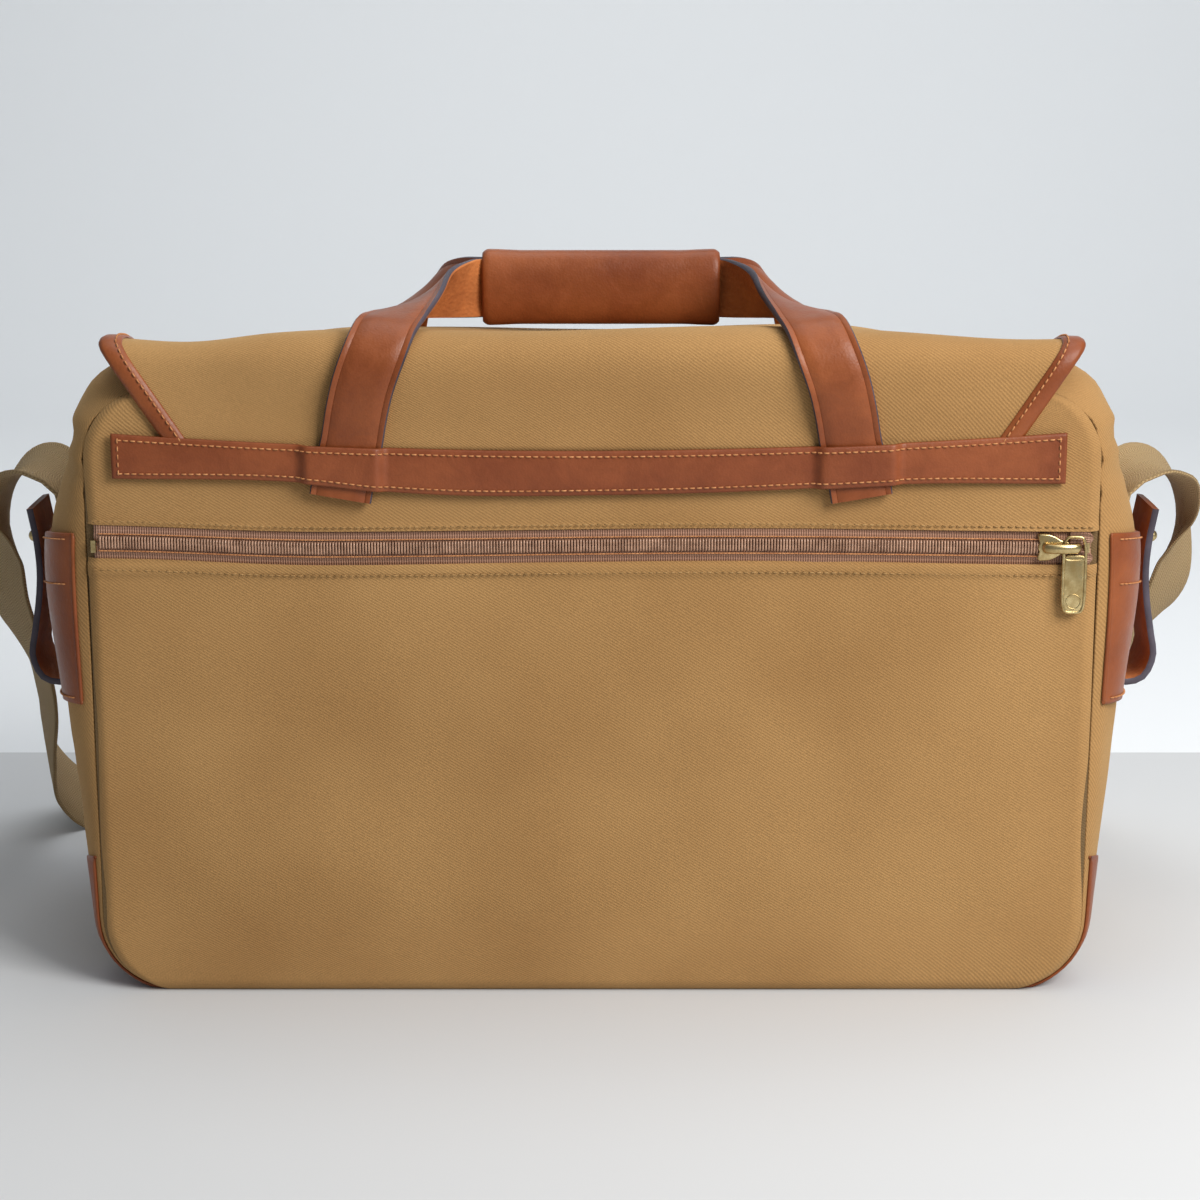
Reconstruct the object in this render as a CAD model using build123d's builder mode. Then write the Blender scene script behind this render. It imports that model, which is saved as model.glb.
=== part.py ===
from build123d import *
from math import radians, sin
import os

os.makedirs("parts", exist_ok=True)

# A canvas and leather doctor bag with a rear zip pocket.
# +Z is up, the zip pocket faces -Y, and the origin is at the middle of the base's underside.

# Driving dimensions, in millimetres.
PANEL_WIDTH = 460.0  # rear and front panels, seam to seam
REAR_HEIGHT = 286.0
FRONT_HEIGHT = 248.0
GUSSET_DEPTH = 194.0  # from the rear panel's seam to the front panel's
GUSSET_PUFF = 25.0  # how far the gusset's middle stands out past the panels' seams
FOOT_RADIUS = 35.0  # the panels' lower corners
SHOULDER_RADIUS = 32.0  # the panels' upper corners
MOUTH_WIDTH = 396.0  # the top opening, between the gussets' turned-in ends

WALL = 3.0  # padded canvas of the tub
POCKET_CLOTH = 2.0  # single canvas of the rear pocket
LID_CLOTH = 2.0
HEM_CLOTH = 2.3
PATCH_LEATHER = 1.8
STRIP_LEATHER = 2.0
STRAP_LEATHER = 3.2
BINDING_LEATHER = 1.4
STIFFENER = 3.0
CLEAR = 0.3  # between pieces that move past each other

CORNER_PATCH_REACH = 30.0

STRIP_BOTTOM = 237.5
STRIP_TOP = 260.5
STRIP_LEFT = -216.0
STRIP_RIGHT = 213.0
STRIP_SLANT = 5.0  # the left end leans

HANDLE_CENTRE = 4.0
HANDLE_SPREAD = 114.0  # from the handle's centre to the middle of each leg
STRAP_WIDTH = 28.0
HANDLE_END_DROP = 5.0  # how far the strap's ends hang out below the strip
GRIP_LENGTH = 114.0
GRIP_HEIGHT = 36.5
GRIP_THICK = 20.0
GRIP_Z = 321.3

ZIP_Z = 215.0
ZIP_MOUTH = 16.0
ZIP_END_MARGIN = 4.0  # from the tape's end to the panel's seam
TAPE_THICK = 0.9
TAPE_STANDOFF = 1.1  # room behind the tape for the slider's back plate
COIL_THICK = 1.6
COIL_HEIGHT = 2.0
COIL_GAP = 1.6  # between the two coils, where the slider's wedge runs
SLIDER_X = 209.0
SLIDER_LENGTH = 13.0
SLIDER_HEIGHT = 10.0
SLIDER_PLATE = 1.5
SLIDER_BACK = 0.7
SLIDER_WEDGE = 1.0
PULL_WIDTH = 10.0
PULL_LENGTH = 35.0
PULL_THICK = 1.5
PULL_HOLE_RADIUS = 2.6
CROWN_POST_RADIUS = 1.2

LID_HALF_WIDTH = 231.0
LID_HALF_AT_STRIP = 193.0
LID_BOTTOM = 104.0
LID_CORNER_RADIUS = 30.0
LID_TOP = 309.0  # where the lid turns over at the back
LID_CORNER_Z = 305.0  # where the lid's slanted edges reach its full width
LID_BACK_DEPTH = 70.0  # the slanted edges lie behind this
BINDING_WIDTH = 8.5

PATCH_LOW = 139.0
PATCH_LOW_SAG = 9.0  # how much lower the patch's foot is in its middle
PATCH_HIGH = 220.0
PATCH_DIP = 9.0  # how far its top edge falls before the tongue
TONGUE_TOP = 216.0
TONGUE_HALF = 34.0
SLING_WIDTH = 40.0
SLING_STUD_Z = 199.0
STUD_POST_RADIUS = 1.6
STUD_BALL_RADIUS = 3.0
STUD_HOLE_RADIUS = 3.8
STUD_SLIT = 4.0  # the sling's hole runs up into a slit
RIVET_RADIUS = 3.0
RIVET_Z = 145.0

CLOSURE_STUD_Z = 66.0
CLOSURE_TIP_LENGTH = 47.0
CHAPE_HEIGHT = 30.0
WEBBING_WIDTH = 50.0
WEBBING_THICK = 2.0

# Levels that follow from them, from the tub's back outwards.
half_depth = GUSSET_DEPTH / 2
half_width = PANEL_WIDTH / 2
wall_y = -half_depth - WALL  # outer face of the rear wall
pocket_y = wall_y - POCKET_CLOTH
hem_y = pocket_y - HEM_CLOTH
strip_y = hem_y - STRIP_LEATHER
handle_y = hem_y - STRAP_LEATHER  # outer face of the handle's ends
tunnel_y = handle_y - 0.2
arch_y = tunnel_y - STRIP_LEATHER
lid_axis_y = arch_y - 0.1
lid_axis_z = STRIP_TOP + 0.5
lid_z = STRIP_TOP + 1.0  # where the lid's moving part starts
legs = (HANDLE_CENTRE - HANDLE_SPREAD, HANDLE_CENTRE + HANDLE_SPREAD)
sides = {"left": -1, "right": 1}


def save(solid, name):
    solid.label = name
    export_step(solid, f"parts/{name}.step")


def block(x0, x1, y0, y1, z0, z1):
    """A box between two corners, which joins nothing until it is added."""
    box = Box(x1 - x0, y1 - y0, z1 - z0, mode=Mode.PRIVATE)
    return Pos((x0 + x1) / 2, (y0 + y1) / 2, (z0 + z1) / 2) * box


# ---- The tub: gussets, base and leather corners are one puffed shell, cut where its pieces meet.
# Each section across the bag gives its place, its height and how much of the puff it has.
def tub_sections():
    shoulder = half_depth * 0.82
    puffed_height = REAR_HEIGHT + 5.0
    middle_height = (REAR_HEIGHT + FRONT_HEIGHT) / 2 + 13.0
    front_height = FRONT_HEIGHT + 14.0
    return (
        (-half_depth, REAR_HEIGHT, 0.0),
        (-shoulder, puffed_height, 0.8),
        (0.0, middle_height, 1.0),
        (shoulder, front_height, 0.8),
        (half_depth, FRONT_HEIGHT, 0.0),
    )


def tub_outline(height, puff, inset):
    """One section of the tub: narrow at the foot, widest three quarters up, round at all corners."""
    stand = GUSSET_PUFF * puff
    foot = half_width + 0.35 * stand - inset
    waist = half_width + 0.8 * stand - inset
    belly = half_width + stand - inset
    neck = half_width + 0.5 * stand - inset
    foot_radius = FOOT_RADIUS - inset
    neck_radius = SHOULDER_RADIUS - inset
    low, high = inset, height - inset
    for side in (1, -1):
        base = (side * (foot - foot_radius), low)
        turn = foot_radius * sin(radians(45))
        Line((0, low), base)
        ThreePointArc(
            base,
            (side * (foot - foot_radius + turn), low + foot_radius - turn),
            (side * foot, low + foot_radius),
        )
        Spline(
            (side * foot, low + foot_radius),
            (side * waist, height * 0.46),
            (side * belly, height * 0.74),
            (side * neck, high - neck_radius),
        )
        turn = neck_radius * sin(radians(45))
        ThreePointArc(
            (side * neck, high - neck_radius),
            (side * (neck - neck_radius + turn), high - neck_radius + turn),
            (side * (neck - neck_radius), high),
        )
        Line((side * (neck - neck_radius), high), (0, high))


def tub_body(inset):
    """The tub as a solid, inset from its outer face. A negative inset is a layer on the outside."""
    with BuildPart() as body:
        for y, height, puff in tub_sections():
            with BuildSketch(Plane.XZ.offset(-y)):
                with BuildLine():
                    tub_outline(height, puff, inset)
                make_face()
        loft()
    return body.part


outer_tub = tub_body(0.0)
inner_tub = tub_body(WALL)
corner_places = {
    f"{side}_{end}_corner": (sign * (half_width - 0.35 * FOOT_RADIUS), y, 0.35 * FOOT_RADIUS)
    for side, sign in sides.items()
    for end, y in (("rear", -half_depth), ("front", half_depth))
}

with BuildPart() as tub:
    add(outer_tub)
    add(inner_tub, mode=Mode.SUBTRACT)
    with Locations((0, 0, REAR_HEIGHT)):
        Box(MOUTH_WIDTH, 2 * GUSSET_DEPTH, REAR_HEIGHT, mode=Mode.SUBTRACT)

for name, place in corner_places.items():
    with BuildPart() as corner:
        add(tub.part)
        with Locations(place):
            Sphere(CORNER_PATCH_REACH, mode=Mode.INTERSECT)
    save(corner.part, name)

with BuildPart() as canvas_tub:
    add(tub.part)
    with Locations(*corner_places.values()):
        Sphere(CORNER_PATCH_REACH, mode=Mode.SUBTRACT)

seam_x = half_width - FOOT_RADIUS
for side, sign in sides.items():
    with BuildPart() as gusset:
        add(canvas_tub.part)
        with Locations((sign * (seam_x + half_width), 0, REAR_HEIGHT / 2)):
            Box(PANEL_WIDTH, 2 * GUSSET_DEPTH, 2 * REAR_HEIGHT, mode=Mode.INTERSECT)
    save(gusset.part, f"{side}_gusset")

with BuildPart() as base_panel:
    add(block(-seam_x, seam_x, -half_depth, half_depth, 0, WALL))
    with Locations(*corner_places.values()):
        Sphere(CORNER_PATCH_REACH, mode=Mode.SUBTRACT)
save(base_panel.part, "base_panel")

with BuildPart() as base_stiffener:
    with BuildSketch(Plane.XY.offset(WALL)):
        RectangleRounded(2 * seam_x - 6, GUSSET_DEPTH - 8, 12)
    extrude(amount=STIFFENER)
save(base_stiffener.part, "base_stiffener")


# ---- Flat panels. The rear and front panels share the tub's outline at its seams.
def panel(height, y_inner, thick, z_low=None, z_high=None):
    """A panel with the tub's seam outline, whose inner face is at y_inner and which is thick outwards."""
    outwards = -1 if y_inner < 0 else 1
    with BuildPart() as sheet:
        with BuildSketch(Plane.XZ.offset(-y_inner)):
            with BuildLine():
                tub_outline(height, 0.0, 0.0)
            make_face()
        extrude(amount=-outwards * thick)
        if z_high is not None:
            split(bisect_by=Plane.XY.offset(z_high), keep=Keep.BOTTOM)
        if z_low is not None:
            split(bisect_by=Plane.XY.offset(z_low), keep=Keep.TOP)
    return sheet.part


zip_low = ZIP_Z - ZIP_MOUTH / 2
zip_high = ZIP_Z + ZIP_MOUTH / 2
save(panel(REAR_HEIGHT, -half_depth, WALL), "rear_wall")
save(panel(FRONT_HEIGHT, half_depth, WALL), "front_panel")
save(panel(REAR_HEIGHT, wall_y, POCKET_CLOTH, z_high=zip_low), "rear_lower_panel")
save(panel(REAR_HEIGHT, wall_y, POCKET_CLOTH, z_low=zip_high), "rear_upper_panel")

# ---- Zip: two tapes in the pocket's mouth, a coil on each, stops, the slider and its pull.
tape_y = wall_y - TAPE_STANDOFF
coil_y = tape_y - TAPE_THICK
plate_y = coil_y - COIL_THICK - CLEAR
zip_end = half_width - ZIP_END_MARGIN
coil_in = COIL_GAP / 2
coil_out = coil_in + COIL_HEIGHT
tape_in = coil_in + 0.3
for name, sign in (("upper", 1), ("lower", -1)):
    with BuildPart() as tape:
        with BuildSketch(Plane.XZ.offset(-wall_y)):
            with Locations((0, ZIP_Z + sign * (tape_in + ZIP_MOUTH / 2) / 2)):
                Rectangle(2 * zip_end, ZIP_MOUTH / 2 - tape_in)
        extrude(amount=TAPE_STANDOFF + TAPE_THICK)
        with Locations((0, wall_y, ZIP_Z)):
            Box(3 * zip_end, 2 * TAPE_STANDOFF, SLIDER_HEIGHT + 2 * CLEAR, mode=Mode.SUBTRACT)
    save(tape.part, f"zip_tape_{name}")
    with BuildPart() as coil:
        with BuildSketch(Plane.XZ.offset(-coil_y)):
            with Locations(((SLIDER_X - zip_end) / 2, ZIP_Z + sign * (coil_in + coil_out) / 2)):
                Rectangle(SLIDER_X + zip_end - 3, COIL_HEIGHT)
        extrude(amount=COIL_THICK)
    save(coil.part, f"zip_coil_{name}")

slider_half = SLIDER_LENGTH / 2
with BuildPart() as zip_stops:
    with Locations(
        (-zip_end - 0.4, coil_y - COIL_THICK / 2, ZIP_Z),
        (SLIDER_X + slider_half + 9.0, coil_y - COIL_THICK / 2, ZIP_Z),
    ):
        Box(2.2, COIL_THICK, 2 * coil_out)
save(zip_stops.part, "zip_stops")

crown_x = SLIDER_X + slider_half + 3.0
pull_y = plate_y - SLIDER_PLATE - CLEAR
crown_y = pull_y - PULL_THICK - CLEAR
with BuildPart() as zip_slider:
    with BuildSketch(Plane.XZ.offset(-plate_y)):
        with Locations((SLIDER_X, ZIP_Z)):
            RectangleRounded(SLIDER_LENGTH, SLIDER_HEIGHT, 3)
        with Locations((crown_x - 2.0, ZIP_Z)):
            RectangleRounded(8, 5, 2)
    extrude(amount=SLIDER_PLATE)
    with BuildSketch(Plane.XZ.offset(-(wall_y - 0.2))):
        with Locations((SLIDER_X, ZIP_Z)):
            RectangleRounded(SLIDER_LENGTH, SLIDER_HEIGHT, 3)
    extrude(amount=SLIDER_BACK)
    with Locations((SLIDER_X + slider_half - 2.5, (wall_y + plate_y) / 2 - 0.1, ZIP_Z)):
        Box(4, wall_y - plate_y - 0.2, SLIDER_WEDGE)
    for sign in (1, -1):
        with Locations((SLIDER_X, (coil_y - CLEAR + plate_y) / 2, ZIP_Z + sign * (SLIDER_HEIGHT / 2 - 0.4))):
            Box(SLIDER_LENGTH - 6, coil_y - CLEAR - plate_y, 0.8)
    with BuildSketch(Plane.XZ.offset(-(plate_y - SLIDER_PLATE))):
        with Locations((crown_x, ZIP_Z), (SLIDER_X - 4, ZIP_Z)):
            Circle(CROWN_POST_RADIUS)
    extrude(amount=plate_y - SLIDER_PLATE - crown_y)
    with BuildSketch(Plane.XZ.offset(-crown_y)):
        with Locations(((crown_x + SLIDER_X - 4) / 2, ZIP_Z)):
            SlotCenterToCenter(crown_x - SLIDER_X + 4, 4)
    extrude(amount=1.4)
save(zip_slider.part, "zip_slider")

pull_top = PULL_HOLE_RADIUS + 2.4
with BuildPart() as zip_pull:
    with BuildSketch(Plane.XZ.offset(-pull_y)):
        with Locations((crown_x, ZIP_Z + pull_top - PULL_LENGTH / 2)):
            RectangleRounded(PULL_WIDTH, PULL_LENGTH, PULL_WIDTH / 2 - 0.05)
        with Locations((crown_x, ZIP_Z)):
            Circle(PULL_HOLE_RADIUS, mode=Mode.SUBTRACT)
    extrude(amount=PULL_THICK)
    with BuildSketch(Plane.XZ.offset(-(pull_y - PULL_THICK))):
        with Locations((crown_x, ZIP_Z + pull_top - PULL_LENGTH + PULL_WIDTH / 2)):
            Circle(3.4)
    extrude(amount=-0.4, mode=Mode.SUBTRACT)
save(zip_pull.part, "zip_pull")

# ---- Leather strip across the back, the lid's hem beneath it and the handle's ends in its tunnels.
with BuildPart() as lid_hem:
    with BuildSketch(Plane.XZ.offset(-pocket_y)):
        with Locations((0, (STRIP_BOTTOM + 3 + STRIP_TOP) / 2)):
            Rectangle(2 * LID_HALF_AT_STRIP, STRIP_TOP - STRIP_BOTTOM - 3)
    extrude(amount=HEM_CLOTH)
save(lid_hem.part, "lid_hem")

with BuildPart() as rear_strip:
    with BuildSketch(Plane.XZ.offset(-pocket_y)):
        with BuildLine():
            Polyline(
                (STRIP_LEFT - STRIP_SLANT, STRIP_BOTTOM),
                (STRIP_RIGHT, STRIP_BOTTOM),
                (STRIP_RIGHT, STRIP_TOP),
                (STRIP_LEFT, STRIP_TOP),
                close=True,
            )
        make_face()
    extrude(amount=pocket_y - strip_y)
    for x in legs:
        with Locations((x, (pocket_y + arch_y) / 2, (STRIP_BOTTOM + STRIP_TOP) / 2)):
            Box(STRAP_WIDTH + 7, pocket_y - arch_y, STRIP_TOP - STRIP_BOTTOM)
        with Locations((x, (pocket_y + tunnel_y) / 2, (STRIP_BOTTOM + STRIP_TOP) / 2)):
            Box(STRAP_WIDTH + 0.6, pocket_y - tunnel_y, STRIP_TOP, mode=Mode.SUBTRACT)
    with Locations((0, (hem_y + pocket_y + 1) / 2, (STRIP_BOTTOM + 3 + STRIP_TOP + 9) / 2)):
        Box(2 * LID_HALF_AT_STRIP, pocket_y + 1 - hem_y, STRIP_TOP + 6 - STRIP_BOTTOM, mode=Mode.SUBTRACT)
save(rear_strip.part, "rear_strip")

for side, x in zip(sides, legs):
    with BuildPart() as handle_end:
        with BuildSketch(Plane.XZ.offset(-hem_y)):
            with Locations((x, (STRIP_BOTTOM - HANDLE_END_DROP + lid_z - CLEAR) / 2)):
                Rectangle(STRAP_WIDTH, lid_z - CLEAR - STRIP_BOTTOM + HANDLE_END_DROP)
        extrude(amount=STRAP_LEATHER)
    save(handle_end.part, f"{side}_handle_end")


# ---- Lid: one curved sheet with slanted rear edges, bound with leather on its sides and front.
lid_front_y = half_depth + WALL + 11.0
lid_profile = (
    (hem_y, lid_z),
    (hem_y, LID_TOP),
    (20.0, LID_TOP - 9.2),
    (84.0, 279.0),
    (lid_front_y - 1.0, 252.0),
    (lid_front_y, LID_BOTTOM),
)
lid_radii = (22.0, 60.0, 45.0, 20.0)


def lid_sheet(thick, side):
    """The lid's profile across the bag, thick to one side of its outer face."""
    with BuildPart() as sheet:
        with BuildSketch(Plane.YZ.offset(-LID_HALF_WIDTH)):
            with BuildLine():
                path = FilletPolyline(*lid_profile, radius=lid_radii)
                offset(path, amount=thick, side=side, closed=True)
            make_face()
        extrude(amount=2 * LID_HALF_WIDTH)
    return sheet.part


def lid_outline(inset):
    """A solid round the lid, inset from its edges: slanted at the back and round at the front corners."""
    half, low = LID_HALF_WIDTH - inset, LID_BOTTOM + inset
    top = LID_CORNER_Z + 40
    slant = (LID_HALF_WIDTH - LID_HALF_AT_STRIP) / (LID_CORNER_Z - lid_z)
    corner_z = LID_CORNER_Z + inset * (1.1 - 1 / (1 + slant))
    with BuildPart() as outline:
        with BuildSketch(Plane.XZ.offset(LID_BACK_DEPTH)):
            with BuildLine():
                Polyline(
                    (-LID_HALF_AT_STRIP + inset * 1.4, lid_z - 5),
                    (LID_HALF_AT_STRIP - inset * 1.4, lid_z - 5),
                    (half, corner_z),
                    (half, top),
                    (-half, top),
                    (-half, corner_z),
                    close=True,
                )
            make_face()
        extrude(amount=LID_BACK_DEPTH)
        with BuildSketch(Plane.XZ.offset(LID_BACK_DEPTH)):
            with Locations((0, (low + top) / 2)):
                RectangleRounded(2 * half, top - low, LID_CORNER_RADIUS - inset)
        extrude(amount=-LID_BACK_DEPTH - 2 * lid_front_y)
    return outline.part


with BuildPart() as lid_panel:
    add(lid_sheet(LID_CLOTH, Side.RIGHT))
    add(lid_outline(0.0), mode=Mode.INTERSECT)
save(lid_panel.part, "lid_panel")

side_band = LID_HALF_WIDTH - LID_CORNER_RADIUS
with BuildPart() as lid_binding:
    add(lid_sheet(BINDING_LEATHER, Side.LEFT))
    add(lid_outline(0.0), mode=Mode.INTERSECT)
    add(lid_outline(BINDING_WIDTH), mode=Mode.SUBTRACT)
for side, sign in sides.items():
    with BuildPart() as binding:
        add(lid_binding.part)
        add(
            block(
                min(sign * 0.3 * LID_HALF_WIDTH, sign * 300),
                max(sign * 0.3 * LID_HALF_WIDTH, sign * 300),
                -300, 300, LID_BOTTOM + LID_CORNER_RADIUS, 400,
            ),
            mode=Mode.INTERSECT,
        )
    save(binding.part, f"lid_binding_{side}")
with BuildPart() as front_binding:
    add(lid_binding.part)
    add(block(-300, 300, 0, 300, 0, LID_BOTTOM + LID_CORNER_RADIUS), mode=Mode.INTERSECT)
save(front_binding.part, "lid_binding_front")


# ---- Handle. Each strap climbs a slope, turns over and runs on edge through the grip.
# A station is the strap's middle and the direction of its width; the left leg is listed.
run_y = 1.9  # the two straps' middles in the grip
tip_y = lid_front_y + BINDING_LEATHER + 0.1 + STRAP_LEATHER / 2  # middle of the straps on the lid's front
rear_leg = (
    ((-HANDLE_SPREAD, handle_y + STRAP_LEATHER / 2, lid_z + 1.3), (1, 0, 0)),
    ((-112.0, handle_y - 0.8, 287.0), (0.99, 0, -0.12)),
    ((-108.5, -101.0, LID_TOP - 3.2), (0.97, -0.1, -0.2)),
    ((-104.0, -82.3, LID_TOP + 4.5), (0.95, -0.25, 0)),
    ((-94.5, -48.0, 318.0), (0.83, -0.42, 0.37)),
    ((-80.0, -24.0, 320.5), (0.45, -0.35, 0.82)),
    ((-67.0, -11.0, 321.0), (0.1, -0.25, 0.96)),
    ((-GRIP_LENGTH / 2 - 2, -4.6, GRIP_Z), (0, 0, 1)),
    ((-GRIP_LENGTH / 2 + 12, -run_y, GRIP_Z), (0, 0, 1)),
)
front_leg = (
    ((-HANDLE_SPREAD, tip_y, LID_BOTTOM - 2), (1, 0, 0)),
    ((-HANDLE_SPREAD, tip_y, 232.0), (1, 0, 0)),
    ((-HANDLE_SPREAD + 1, tip_y - 1.0, 252.0), (1, 0, -0.05)),
    ((-109.5, 103.0, 270.5), (0.99, 0.1, -0.12)),
    ((-105.0, 79.0, 287.5), (0.95, 0.2, -0.15)),
    ((-95.5, 48.0, 308.0), (0.83, 0.42, 0.37)),
    ((-80.0, 24.0, 318.5), (0.45, 0.35, 0.82)),
    ((-67.0, 11.0, 320.8), (0.1, 0.25, 0.96)),
    ((-GRIP_LENGTH / 2 - 2, 4.6, GRIP_Z), (0, 0, 1)),
    ((-GRIP_LENGTH / 2 + 12, run_y, GRIP_Z), (0, 0, 1)),
)


def ribbon(stations, width, thick):
    """A strap through stations, each a middle point and the direction of the strap's width there."""
    sections = []
    for k, (place, across) in enumerate(stations):
        before = Vector(*stations[max(k - 1, 0)][0])
        after = Vector(*stations[min(k + 1, len(stations) - 1)][0])
        along = (after - before).normalized()
        flat = (Vector(*across) - along * along.dot(Vector(*across))).normalized()
        with BuildSketch(Plane(origin=place, x_dir=flat, z_dir=along)) as section:
            Rectangle(width, thick)
        sections.append(section.sketch.face())
    with BuildPart() as strap:
        for near, far in zip(sections, sections[1:]):
            loft([near, far], ruled=True)
    return strap.part


def whole_strap(leg):
    """Both legs of a strap about the handle's centre, from the one that is listed."""
    left = [((x + HANDLE_CENTRE, y, z), w) for (x, y, z), w in leg]
    right = [((HANDLE_CENTRE - x, y, z), (w[0], -w[1], -w[2])) for (x, y, z), w in reversed(leg)]
    with BuildPart() as strap:
        add(ribbon(left, STRAP_WIDTH, STRAP_LEATHER))
        add(ribbon(right, STRAP_WIDTH, STRAP_LEATHER))
        inner = GRIP_LENGTH / 2 - 12
        with Locations((HANDLE_CENTRE, leg[-1][0][1], GRIP_Z)):
            Box(2 * inner, STRAP_LEATHER, STRAP_WIDTH)
    return strap.part


save(whole_strap(rear_leg), "rear_handle_strap")
save(whole_strap(front_leg), "front_handle_strap")

with BuildPart() as handle_grip:
    with BuildSketch(Plane.YZ.offset(HANDLE_CENTRE - GRIP_LENGTH / 2)):
        with Locations((0, GRIP_Z)):
            RectangleRounded(GRIP_THICK, GRIP_HEIGHT, GRIP_THICK / 2 - 0.5)
            RectangleRounded(GRIP_THICK - 5, STRAP_WIDTH + 2 * CLEAR, 3, mode=Mode.SUBTRACT)
    extrude(amount=GRIP_LENGTH)
save(handle_grip.part, "handle_grip")


# ---- Front closure: leather chapes with ball studs, and the straps' free tips that press onto them.
front_y = half_depth + WALL
tip_top = LID_BOTTOM - 2 - CLEAR
tip_axis_z = tip_top - STRAP_LEATHER / 2  # the tip's top edge is round and turns about this height
ball_y = tip_y - STRAP_LEATHER / 2 - CLEAR - STUD_BALL_RADIUS
for side, x in zip(sides, legs):
    with BuildPart() as chape:
        with BuildSketch(Plane.XZ.offset(-front_y)):
            with Locations((x, CLOSURE_STUD_Z + 3)):
                RectangleRounded(STRAP_WIDTH + 4, CHAPE_HEIGHT, 5)
        extrude(amount=-STRIP_LEATHER)
    save(chape.part, f"{side}_chape")
    with BuildPart() as tip:
        with BuildSketch(Plane.XZ.offset(-(tip_y + STRAP_LEATHER / 2))):
            with Locations((x, tip_axis_z)):
                Rectangle(STRAP_WIDTH, CLOSURE_TIP_LENGTH, align=(Align.CENTER, Align.MAX))
            with Locations((x, CLOSURE_STUD_Z)):
                Circle(STUD_HOLE_RADIUS, mode=Mode.SUBTRACT)
        extrude(amount=STRAP_LEATHER)
        fillet(tip.edges().filter_by(Axis.Y).group_by(Axis.Z)[0], STRAP_WIDTH / 2 - 0.5)
        with Locations(Location((x, tip_y, tip_axis_z), (0, 90, 0))):
            Cylinder(STRAP_LEATHER / 2, STRAP_WIDTH)
    save(tip.part, f"{side}_closure_tip")
with BuildPart() as closure_studs:
    for x in legs:
        with BuildSketch(Plane.XZ.offset(-(front_y + STRIP_LEATHER))):
            with Locations((x, CLOSURE_STUD_Z)):
                Circle(STUD_POST_RADIUS)
        extrude(amount=-(ball_y - front_y - STRIP_LEATHER))
        with BuildSketch(Plane.XZ.offset(-(front_y + STRIP_LEATHER))):
            with Locations((x, CLOSURE_STUD_Z)):
                Circle(4.5)
        extrude(amount=-0.8)
        with Locations((x, ball_y, CLOSURE_STUD_Z)):
            Sphere(STUD_BALL_RADIUS)
save(closure_studs.part, "closure_studs")

# ---- Side patches: leather over the gusset, with a tongue at the top where the webbing comes out.
patch_tub = tub_body(-PATCH_LEATHER)
tongue_foot = TONGUE_HALF + 12
dip = PATCH_DIP / (half_depth - tongue_foot)
for side, sign in sides.items():
    with BuildPart() as patch:
        with BuildSketch(Plane.YZ):
            with BuildLine():
                Line((-half_depth, PATCH_LOW), (-half_depth, PATCH_HIGH))
                Line((-half_depth, PATCH_HIGH), (-tongue_foot, PATCH_HIGH - PATCH_DIP))
                Spline(
                    (-tongue_foot, PATCH_HIGH - PATCH_DIP),
                    (-TONGUE_HALF, PATCH_HIGH - PATCH_DIP + 1.5),
                    (0, TONGUE_TOP),
                    (TONGUE_HALF, PATCH_HIGH - PATCH_DIP + 1.5),
                    (tongue_foot, PATCH_HIGH - PATCH_DIP),
                    tangents=((1, -dip), (1, dip)),
                )
                Line((tongue_foot, PATCH_HIGH - PATCH_DIP), (half_depth, PATCH_HIGH))
                Line((half_depth, PATCH_HIGH), (half_depth, PATCH_LOW))
                ThreePointArc(
                    (half_depth, PATCH_LOW), (0, PATCH_LOW - PATCH_LOW_SAG), (-half_depth, PATCH_LOW)
                )
            make_face()
        extrude(amount=sign * 2 * half_width)
        add(patch_tub, mode=Mode.INTERSECT)
        add(outer_tub, mode=Mode.SUBTRACT)
    save(patch.part, f"{side}_side_patch")

# ---- Slings: a stiff leather strap that leaves the patch's foot, bulges and is held by a ball stud.
sling_path = (
    (254.4, 133.0),
    (261.5, 129.5),
    (269.5, 131.5),
    (274.5, 141.0),
    (272.8, 156.0),
    (270.5, 170.0),
    (269.3, 185.0),
    (270.2, 200.0),
    (272.8, 216.0),
)
sling_stud_x = 270.1  # the sling's middle at its stud
for side, sign in sides.items():
    with BuildPart() as sling:
        with BuildSketch(Plane.XZ.offset(SLING_WIDTH / 2)):
            with BuildLine():
                spine = Spline(*[(sign * x, z) for x, z in sling_path])
            trace(spine, line_width=STRAP_LEATHER)
        extrude(amount=-SLING_WIDTH)
        with BuildSketch(Plane.YZ.offset(sign * sling_stud_x)):
            with Locations((0, SLING_STUD_Z + STUD_SLIT / 2)):
                SlotCenterToCenter(STUD_SLIT, 2 * STUD_HOLE_RADIUS, rotation=90)
        extrude(amount=2 * STRAP_LEATHER, both=True, mode=Mode.SUBTRACT)
    save(sling.part, f"{side}_sling")

stud_reach = 18.0  # from inside the patch to inside the ball
with BuildPart() as side_studs:
    with Locations(
        *[Location((sign * (sling_stud_x - 5), 0, SLING_STUD_Z), (0, 90, 0)) for sign in sides.values()]
    ):
        Cylinder(STUD_POST_RADIUS, stud_reach)
    with Locations(*[(sign * (sling_stud_x + 5), 0, SLING_STUD_Z) for sign in sides.values()]):
        Sphere(STUD_BALL_RADIUS)
    add(patch_tub, mode=Mode.SUBTRACT)
save(side_studs.part, "side_studs")

rivet_x = 255.2  # a rivet's middle, just outside the patch
with BuildPart() as side_rivets:
    with Locations(*[Location((sign * rivet_x, -14, RIVET_Z), (0, 90, 0)) for sign in sides.values()]):
        Cylinder(RIVET_RADIUS, 4.0)
    add(patch_tub, mode=Mode.SUBTRACT)
save(side_rivets.part, "side_rivets")

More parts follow.
